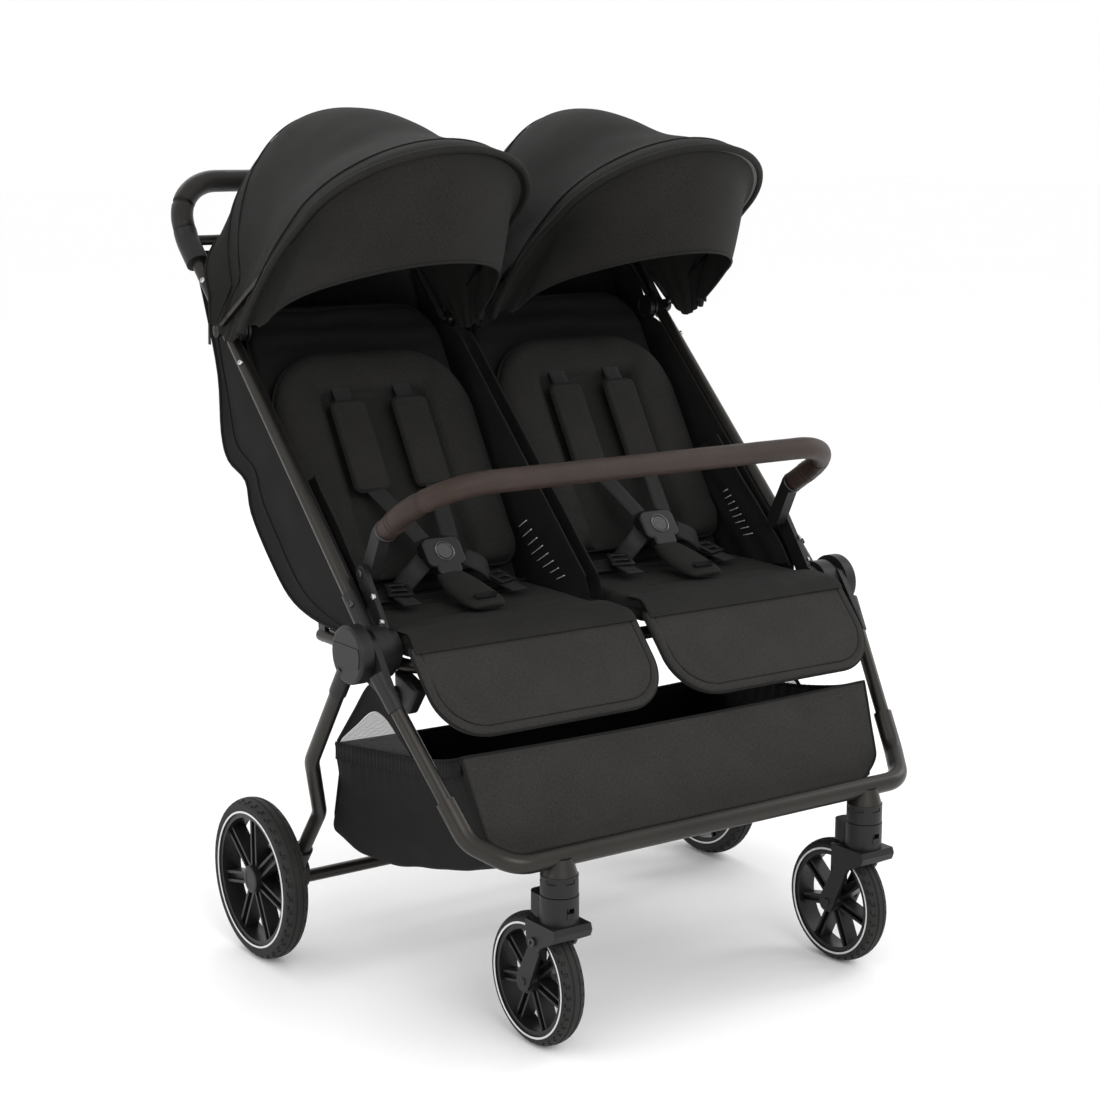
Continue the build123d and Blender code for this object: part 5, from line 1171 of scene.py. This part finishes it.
    rows = []
    sleeve = [(-22, 463.2, 3.0, 20), (-14, 465.6, 5.5, 25), (4, 469.0, 7.5, 27.5), (30, 475.0, 8.5, 26.5), (52, 482.0, 7.5, 22), (66, 487.0, 5.5, 18)]
    for i in range(31):
        s = i / 30
        y, z, thick, half = curve_through(sleeve, s)
        ahead = Vector((0, *curve_through(sleeve, min(s + 0.03, 1))[:2])) - Vector((0, *curve_through(sleeve, max(s - 0.03, 0))[:2]))
        up = Vector((0, -ahead.z, ahead.y)).normalized()
        ring = []
        for k in range(36):
            a = 2 * pi * k / 36
            x = half * abs(cos(a)) ** 0.6 * (1 if cos(a) > 0 else -1)
            h = thick * abs(sin(a)) ** 0.8 * (1 if sin(a) > 0 else -1)
            at = Vector((side * SEAT_X * 1000 + x, y, z)) + up * h
            ring.append(at / 1000)
        if i in (0, 30):
            centre = sum(ring, Vector()) / 36
            rows += [[centre.lerp(p, 0.05) for p in ring], ring] if i == 0 else [ring, [centre.lerp(p, 0.05) for p in ring]]
        else:
            rows.append(ring)
    crotch = sew(f"crotch_sleeve_{name}", rows, charcoal_twill, 0, 0, closed=True)
    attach(crotch, "chassis")
    if side > 0:
        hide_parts("crotch_pads")
    slot_at = Matrix.Translation((side * SEAT_X, -0.0105, 0.4728)) @ Matrix.Rotation(radians(12), 4, "X")
    slot = stuff(f"sleeve_slot_{name}", (0.030, 0.010), (0.003, 0.003), (0.0, 0.0016), 0.002, lambda x, y, gap: -0.0022 * soft_step(gap, 0.002, 0.0035), slot_at, black_cloth, 0.0014)
    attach(slot, "chassis")

# Buckle faces. A glossy press button in a raised collar on each moulded buckle.
gloss, maths, shader = new_finish("glossy_button", {"Coat Weight": 0.6, "Coat Roughness": 0.08})
place = maths.node("ShaderNodeTexCoord", output="Object")
smear = maths.noise(place, 220.0, 3.0)
wire(smear.mix(colour(0.006), colour(0.012)), shader, "Base Color")
wire(smear * 0.15 + 0.12, shader, "Roughness")
paint(gloss, "buckle_button_left", "buckle_button_right")
for name, side in (("left", -1), ("right", 1)):
    centre = BUCKLE_AT + Vector((side * SEAT_X, 0, 0)) + BUCKLE_OUT * 0.0152
    bpy.ops.mesh.primitive_torus_add(major_segments=48, minor_segments=10, major_radius=0.0122, minor_radius=0.0012)
    collar = bpy.context.object
    to_edit(collar, "VERT")
    bpy.ops.mesh.select_all(action="SELECT")
    bpy.ops.transform.resize(value=(1, 1, 0.6), center_override=(0, 0, 0))
    leave_edit()
    collar.matrix_world = facing(centre, BUCKLE_OUT)
    settle(collar, f"buckle_collar_{name}", "chassis", gloss)

# Leather. The bumper bar is foam under matt brown leather, the handle dark leather.
# Both are sewn along the underside, and the bumper ends in stitched cuffs.
def leather_finish(name, dark, light, rough):
    made, maths, shader = new_finish(name, {"Specular IOR Level": 0.3})
    place = maths.node("ShaderNodeTexCoord", output="Object")
    grain = maths.node("ShaderNodeTexVoronoi", {"feature": "DISTANCE_TO_EDGE"}, {"Vector": place, "Scale": 620.0})
    pits = grain.above(0.06, 0.06)
    cloud = maths.noise(place, 18.0, 4.0, 0.6)
    wire((cloud * 0.75 + pits * 0.25).mix(dark, light), shader, "Base Color")
    wire(rough - cloud * 0.12 - pits * 0.06, shader, "Roughness")
    wire(maths.bump(pits + cloud * 0.3, 0.00018), shader, "Normal")
    return made


brown_leather = leather_finish("brown_leather", colour(0.012, 0.0062, 0.0042), colour(0.038, 0.0225, 0.0165), 0.6)
dark_leather = leather_finish("dark_leather", colour(0.003, 0.0022, 0.0018), colour(0.010, 0.0078, 0.0066), 0.5)


def rounded_route(corners, radius, step=0.006):
    """Points along straight runs joined by arcs."""
    points = [corners[0]]
    for a, b, c in zip(corners, corners[1:], corners[2:]):
        to_a, to_c = (a - b).normalized(), (c - b).normalized()
        half = to_a.angle(to_c) / 2
        reach = radius / abs(sin(half)) * cos(half)
        hub = b + (to_a + to_c).normalized() * (radius / sin(half))
        start, end = b + to_a * reach, b + to_c * reach
        count = max(int(radius * (pi - 2 * half) / step), 6)
        first, last = (start - hub).normalized(), (end - hub).normalized()
        points += [hub + first.slerp(last, k / count) * radius for k in range(count + 1)]
    points.append(corners[-1])
    even = []
    for a, b in zip(points, points[1:]):
        pieces = max(int((b - a).length / step), 1)
        even += [a.lerp(b, k / pieces) for k in range(pieces)]
    return even + [points[-1]]


def leather_tube(name, route, radius, finish, body, node):
    """A sewn sleeve round a tube, swollen a little between its ends."""
    rows = []
    count = len(route)
    for i, at in enumerate(route):
        way = (route[min(i + 1, count - 1)] - route[max(i - 1, 0)]).normalized()
        flat = Vector((1, 0, 0)) if abs(way.x) < 0.5 else Vector((0, 1, 0))
        low = way.cross(flat).normalized()
        low = low if low.z < 0 else -low
        other = way.cross(low)
        ring = []
        for k in range(28):
            a = 2 * pi * k / 28
            seam = 0.0007 * groove(min(a, 2 * pi - a), 0.10)
            out = low * cos(a) + other * sin(a)
            uneven = 0.00025 * noise.noise(at * 60 + out)
            ring.append(at + out * (radius - seam + uneven))
        rows.append(ring)
    first, last = route[0], route[-1]
    rows.insert(0, [first.lerp(p, 0.6) for p in rows[0]])
    rows.append([last.lerp(p, 0.6) for p in rows[-1]])
    sleeve = sew(name, rows, finish, 0, 0, closed=True)
    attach(sleeve, body)
    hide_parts(node)
    return rows


def stitches(name, line, outs, pitch, body, finish):
    """Small raised stitches along a line."""
    verts, faces = [], []
    for a, b, out in zip(line, line[1:], outs):
        way = b - a
        count = max(int(way.length / pitch), 1)
        across = way.normalized().cross(out).normalized() * 0.00035
        for k in range(count):
            low, high = a + way * ((k + 0.15) / count), a + way * ((k + 0.85) / count)
            middle = (low + high) / 2
            base = len(verts)
            verts += [tuple(p) for p in (low, middle + across, high, middle - across, middle + out * 0.0004)]
            faces += [(base + i, base + (i + 1) % 4, base + 4) for i in range(4)]
    mesh = bpy.data.meshes.new(name)
    mesh.from_pydata(verts, [], faces)
    mesh.materials.append(finish)
    piece = bpy.data.objects.new(name, mesh)
    bpy.context.scene.collection.objects.link(piece)
    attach(piece, body)
    return piece


BUMPER_CORNERS = [
    Vector((0.3055, -0.0205, 0.569)),
    Vector((0.3055, -0.113, 0.629)),
    Vector((-0.3055, -0.113, 0.629)),
    Vector((-0.3055, -0.0205, 0.569)),
]
bumper_route = rounded_route(BUMPER_CORNERS, 0.078)
bumper_rings = leather_tube("bumper_leather", bumper_route, 0.0134, brown_leather, "bumper", "bumper_bar")
COLLAR = Vector((0.333, 0.4067, 0.876))
HANDLE_CORNER = Vector((0.333, 0.445, 0.948))
handle_way = (HANDLE_CORNER - COLLAR).normalized()
grip_start = COLLAR + handle_way * 0.014
handle_route = rounded_route(
    [grip_start, HANDLE_CORNER, Vector((-HANDLE_CORNER.x, *HANDLE_CORNER.yz)), Vector((-grip_start.x, *grip_start.yz))], 0.060
)
leather_tube("handle_leather", handle_route, 0.0140, dark_leather, "push_assembly", "handle_grip")
thread, maths, shader = new_finish("brown_thread", {"IOR": 1.4})
place = maths.node("ShaderNodeTexCoord", output="Object")
ply = maths.noise(place, 3000.0, 1.0)
wire(ply.mix(colour(0.016, 0.010, 0.007), colour(0.045, 0.030, 0.022)), shader, "Base Color")
wire(ply * 0.2 + 0.6, shader, "Roughness")
for end, index in (("right", 5), ("left", len(bumper_rings) - 6)):
    at = sum(bumper_rings[index], Vector()) / 28
    for mark, shift in (("a", 0), ("b", 1)):
        ring = bumper_rings[index + shift]
        cuff = welt(f"cuff_seam_{end}_{mark}", [at.lerp(p, 1.0) + (ring[0] - bumper_rings[index][0]) for p in bumper_rings[index]], 0.0006, brown_leather, closed=True, sides=6)
        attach(cuff, "bumper")
under = [ring[2] for ring in bumper_rings[8:-8]]
under_outs = [(ring[2] - sum(ring, Vector()) / 28).normalized() for ring in bumper_rings[8:-8]]
stitches("bumper_stitches_a", under, under_outs, 0.0034, "bumper", thread)
under = [ring[-2] for ring in bumper_rings[8:-8]]
under_outs = [(ring[-2] - sum(ring, Vector()) / 28).normalized() for ring in bumper_rings[8:-8]]
stitches("bumper_stitches_b", under, under_outs, 0.0034, "bumper", thread)
for end, side in (("right", 1), ("left", -1)):
    start = Vector((side * 0.3055, -0.0205, 0.569))
    back_way = (start - Vector((side * 0.3055, -0.113, 0.629))).normalized()
    bpy.ops.mesh.primitive_torus_add(major_segments=40, minor_segments=10, major_radius=0.0126, minor_radius=0.0013)
    ring = bpy.context.object
    to_edit(ring, "VERT")
    bpy.ops.mesh.select_all(action="SELECT")
    bpy.ops.transform.resize(value=(1, 1, 1.5), center_override=(0, 0, 0))
    leave_edit()
    ring.matrix_world = facing(start + back_way * 0.0035, back_way)
    settle(ring, f"bumper_ring_{end}", "bumper", black_screw)

# Seat skirts. Black cloth that closes each seat's sides, from the shell's lower edge
# down to the cushion, laced to the hub brackets in front.
for name, side in (("left", -1), ("right", 1)):
    for where, x in (("outer", 0.3092),):
        inward = -1 if where == "outer" else 1
        rows = []
        for i in range(21):
            s = i / 20
            top_front = HUB + PUSH_WAY * (0.250 - 0.210 * s ** 1.2)
            back = Vector((0, 0.232, 0.560)).lerp(Vector((0, 0.128, 0.440)), s)
            row = []
            for k in range(29):
                t = k / 28
                at = top_front.lerp(back, t)
                if s > 0.9:
                    at.z -= 0.006 * (s - 0.9) / 0.1
                fold = 0.0016 * wrinkle(at, 0.03, x * 3) + 0.0012 * sin(t * 19 + s * 5)
                lean = 0.0
                row.append(at + Vector((side * (x + inward * (fold + lean)), 0, 0)))
            rows.append(row)
        skirt = sew(f"seat_skirt_{where}_{name}", rows, black_cloth, 0.0014, flip=(side > 0) == (where == "outer"))
        hem = welt(f"skirt_hem_{where}_{name}", [row[0] for row in rows], 0.0016, piping_cloth)
        hang(rows)
        pieces = [skirt, hem]
        for i in range(9, 17):
            line = [rows[i][k] - Vector((side * 0.0022, 0, 0)) for k in range(8, 14 - abs(13 - i) // 2)]
            pieces.append(welt(f"reflective_yarn_outer_{name}_{i}", line, 0.0006, reflective, sides=6))
        for piece in pieces:
            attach(piece, "chassis")

# Basket. A bag of black cloth hangs between the legs, gathered on an elastic band at
# its sides. A charcoal panel with a turned edge closes its front, and two mesh gussets
# rise to the seat rails.
PANEL_LOW = Vector((0.0, -0.207, 0.224))
PANEL_TOP = Vector((0.0, -0.162, 0.334))
PANEL_UP = (PANEL_TOP - PANEL_LOW).normalized()
PANEL_OUT = Vector((0, -PANEL_UP.z, PANEL_UP.y))
PANEL_HEIGHT = (PANEL_TOP - PANEL_LOW).length
BAG_HALF = 0.2946


def panel_half(height):
    if height < 0.032:
        return 0.262 + 0.030 * sin(pi / 2 * height / 0.032)
    return 0.292 + 0.0095 * (height - 0.032) / (PANEL_HEIGHT - 0.032)


rows = []
for i in range(25):
    t = i / 24
    height = PANEL_HEIGHT * t
    row = []
    for k in range(81):
        u = -1 + k / 40
        x = u * panel_half(height)
        belly = 0.0035 * sin(pi * t) * (1 - u ** 4) + 0.0012 * noise.noise(Vector((x * 9, t * 3, 2.0)))
        border = min(height, PANEL_HEIGHT - height, (1 - abs(u)) * 0.29)
        edge = -0.0011 * groove(border - 0.0085, 0.0016)
        dip = -0.0035 * t ** 6 * (1 - u ** 2)
        row.append(PANEL_LOW + PANEL_UP * (height + dip) + PANEL_OUT * (0.0042 + belly + edge) + Vector((x, 0, 0)))
    rows.append(row)
front_panel = sew("basket_front_cloth", rows, panel_twill, 0.004, 1)
edge_line = rows[-1] + [row[-1] for row in rows[-2:0:-1]] + rows[0][::-1] + [row[0] for row in rows[1:-1]]
edge_line = [p - PANEL_OUT * 0.0012 for p in edge_line]
front_piping = welt("basket_front_piping", edge_line, 0.0018, piping_cloth, closed=True)
hang(rows)
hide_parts("basket_front_panel")
for piece in (front_panel, front_piping):
    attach(piece, "chassis")

BAG_RIM = [(-0.158, 0.330), (-0.120, 0.318), (-0.060, 0.306), (0.000, 0.298), (0.060, 0.290), (0.1195, 0.2835)]
BAG_FOOT = [(-0.200, 0.216), (-0.150, 0.192), (-0.060, 0.168), (0.020, 0.150), (0.090, 0.146), (0.148, 0.156)]
rows = []
for i in range(41):
    s = i / 40
    rim, foot = curve_through(BAG_RIM, s), curve_through(BAG_FOOT, s)
    row = []
    for k in range(97):
        u = -1 + k / 48
        w = abs(u)
        if w > 0.62:
            t = (w - 0.62) / 0.38
            x = BAG_HALF - 0.010 * sin(pi * t) ** 2 - 0.012 * (1 - t) ** 3
            y = foot[0] + (rim[0] - foot[0]) * t
            z = foot[1] + 0.010 + (rim[1] - foot[1] - 0.010) * t
            x -= 0.0022 * sin(i * 2.4 + 3 * t) * t ** 4
            x += 0.0035 * wrinkle(Vector((u, y, z)), 0.06, 4.0) * (1 - t)
        else:
            t = w / 0.62
            x = (BAG_HALF - 0.012) * sin(pi / 2 * t)
            y = foot[0]
            sag = -0.006 * (1 - t ** 2) + 0.003 * wrinkle(Vector((u * 0.3, y, 0)), 0.05, 6.0)
            z = foot[1] + 0.010 * (1 - cos(pi / 2 * t)) + sag
        row.append(Vector((x if u > 0 else -x, y, z)))
    rows.append(row)
bag = sew("basket_bag", rows, black_cloth, 0.0014, 1)
ends = []
for index, mark in ((0, "front"), (-1, "rear")):
    line = rows[index]
    wall = []
    for j in range(13):
        t = j / 12
        row = []
        for k in range(49):
            a = line[k * 2]
            top = curve_through(BAG_RIM, 0.0 if mark == "front" else 1.0)
            level = top[1] - (0.004 if mark == "rear" else 0.008) * (1 - (a.x / BAG_HALF) ** 2)
            goal = Vector((a.x, top[0], level))
            row.append(a.lerp(goal, t) if a.z < level else a.copy())
        wall.append(row)
    end = sew(f"basket_{mark}_wall", wall, black_cloth, 0.0012, 0, flip=mark == "rear")
    rim = welt(f"basket_{mark}_rim", wall[-1], 0.0022, piping_cloth)
    for piece in (end, rim):
        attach(piece, "chassis")
    hang(wall)
    ends.append(end)
bands = []
for name, side in (("left", -1), ("right", 1)):
    band_rows = []
    for k in range(5):
        drop = 0.002 + 0.020 * k / 4
        band_row = []
        for i in range(121):
            s = i / 120
            rim = curve_through(BAG_RIM, s)
            ruffle = 0.0011 * sin(i * 1.9) * (0.4 + abs(k / 4 - 0.5))
            band_row.append(Vector((side * (BAG_HALF + 0.0012 + ruffle), rim[0], rim[1] - drop + 0.004)))
        band_rows.append(band_row)
    band = sew(f"basket_band_{name}", band_rows, piping_cloth, 0.0012, 0, flip=side < 0)
    top = welt(f"basket_band_edge_{name}", band_rows[0], 0.0017, piping_cloth)
    for piece in (band, top):
        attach(piece, "chassis")
    bands += [band, top]
hang(rows)
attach(bag, "chassis")
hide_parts("basket")

mesh_net, maths, shader = new_finish("mesh_gusset", {"IOR": 1.4})
uv = maths.node("ShaderNodeTexCoord", output="UV")
cells = maths.node("ShaderNodeTexVoronoi", {"voronoi_dimensions": "2D"}, {"Vector": uv, "Scale": 640.0, "Randomness": 0.25})
thread_mask = cells.above(0.40, 0.05)
wire(thread_mask * 0.62 + 0.38, shader, "Alpha")
wire(thread_mask.mix(colour(0.02), colour(0.035)), shader, "Base Color")
wire(thread_mask * 0.1 + 0.6, shader, "Roughness")
for name, side in (("left", -1), ("right", 1)):
    rows = []
    low_line = [(-0.055, 0.3065), (-0.020, 0.3015), (0.012, 0.298), (0.045, 0.294), (0.080, 0.290), (0.116, 0.286)]
    high_line = [(-0.053, 0.308), (-0.020, 0.338), (0.014, 0.369), (0.040, 0.373), (0.078, 0.332), (0.117, 0.288)]
    for i in range(13):
        t = i / 12
        row = []
        for k in range(61):
            low, high = curve_through(low_line, k / 60), curve_through(high_line, k / 60)
            y, z = low[0] + (high[0] - low[0]) * t, low[1] + (high[1] - low[1]) * t
            bow = 0.004 * sin(pi * t) * sin(pi * k / 60)
            row.append(Vector((side * (BAG_HALF - 0.0005 - bow), y, z)))
        rows.append(row)
    gusset = sew(f"mesh_gusset_{name}", rows[:8], mesh_net, 0, 1)
    hang(rows[:8])
    yoke_cloth = sew(f"gusset_cloth_{name}", rows[7:], black_cloth, 0.0012, 1)
    tape = welt(f"gusset_tape_{name}", rows[-1], 0.0024, piping_cloth)
    hang(rows[7:])
    hanger = [(side * 0.2925, 0.027, 0.369), (side * 0.2950, 0.026, 0.385), (side * 0.2935, 0.024, 0.402), (side * 0.2925, 0.022, 0.420)]
    ribbon(f"basket_hanger_{name}", hanger, [(side, 0, 0)] * 4, 0.024, "chassis")
    for piece in (gusset, yoke_cloth, tape):
        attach(piece, "chassis")

divider = [(0.0, -0.1560, 0.318), (0.0, -0.1500, 0.290), (0.0, -0.1460, 0.250), (0.0, -0.1440, 0.205)]
ribbon("basket_divider", divider, [(0, 1, 0.1)] * 4, 0.022, "chassis")

# Calf rest latches. A moulded housing with a round boss hangs under each front corner
# of the seat, and a bent steel rod runs from it to the calf rest.
for name, side in (("left", -1), ("right", 1)):
    bpy.ops.mesh.primitive_cube_add(size=1.0)
    housing = bpy.context.object
    housing.scale = (0.020, 0.050, 0.040)
    bpy.ops.object.transform_apply(scale=True)
    to_edit(housing)
    choose(housing, lambda at, up: up.z < -0.9)
    bpy.ops.transform.resize(value=(0.8, 0.55, 1))
    bpy.ops.mesh.select_all(action="SELECT")
    bpy.ops.mesh.bevel(offset=0.0045, segments=3, affect="EDGES")
    leave_edit()
    housing.rotation_euler = (radians(18), 0, 0)
    housing.location = (side * 0.3035, -0.062, 0.3865)
    settle(housing, f"latch_housing_{name}", "chassis", moulding)
    bpy.ops.mesh.primitive_cylinder_add(vertices=36, radius=0.0125, depth=0.025, rotation=(0, pi / 2, 0))
    boss = bpy.context.object
    bpy.ops.object.transform_apply(rotation=True)
    to_edit(boss)
    choose(boss, lambda at, up: abs(up.x) > 0.9)
    bpy.ops.mesh.inset(thickness=0.0015, depth=0.0010)
    bpy.ops.mesh.inset(thickness=0.0030, depth=-0.0012)
    leave_edit()
    boss.location = (side * 0.3030, -0.046, 0.381)
    settle(boss, f"latch_boss_{name}", "chassis", moulding)
    bpy.ops.mesh.primitive_circle_add(vertices=16, radius=0.0034, location=(0.058, 0, 0), rotation=(pi / 2, 0, 0))
    rod = bpy.context.object
    bpy.ops.object.transform_apply(location=True, rotation=True)
    to_edit(rod, "VERT")
    bpy.ops.mesh.select_all(action="SELECT")
    bpy.ops.mesh.spin(steps=24, angle=radians(78), center=(0, 0, 0), axis=(0, 0, 1))
    bpy.ops.mesh.select_all(action="SELECT")
    bpy.ops.mesh.normals_make_consistent(inside=False)
    leave_edit()
    rod.matrix_world = Matrix.Translation((side * 0.246, -0.050, 0.376)) @ Matrix.Rotation(radians(-8), 4, "X") @ Matrix.Diagonal((side, -1, 1, 1))
    settle(rod, f"latch_rod_{name}", "chassis", tube_paint)

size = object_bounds()
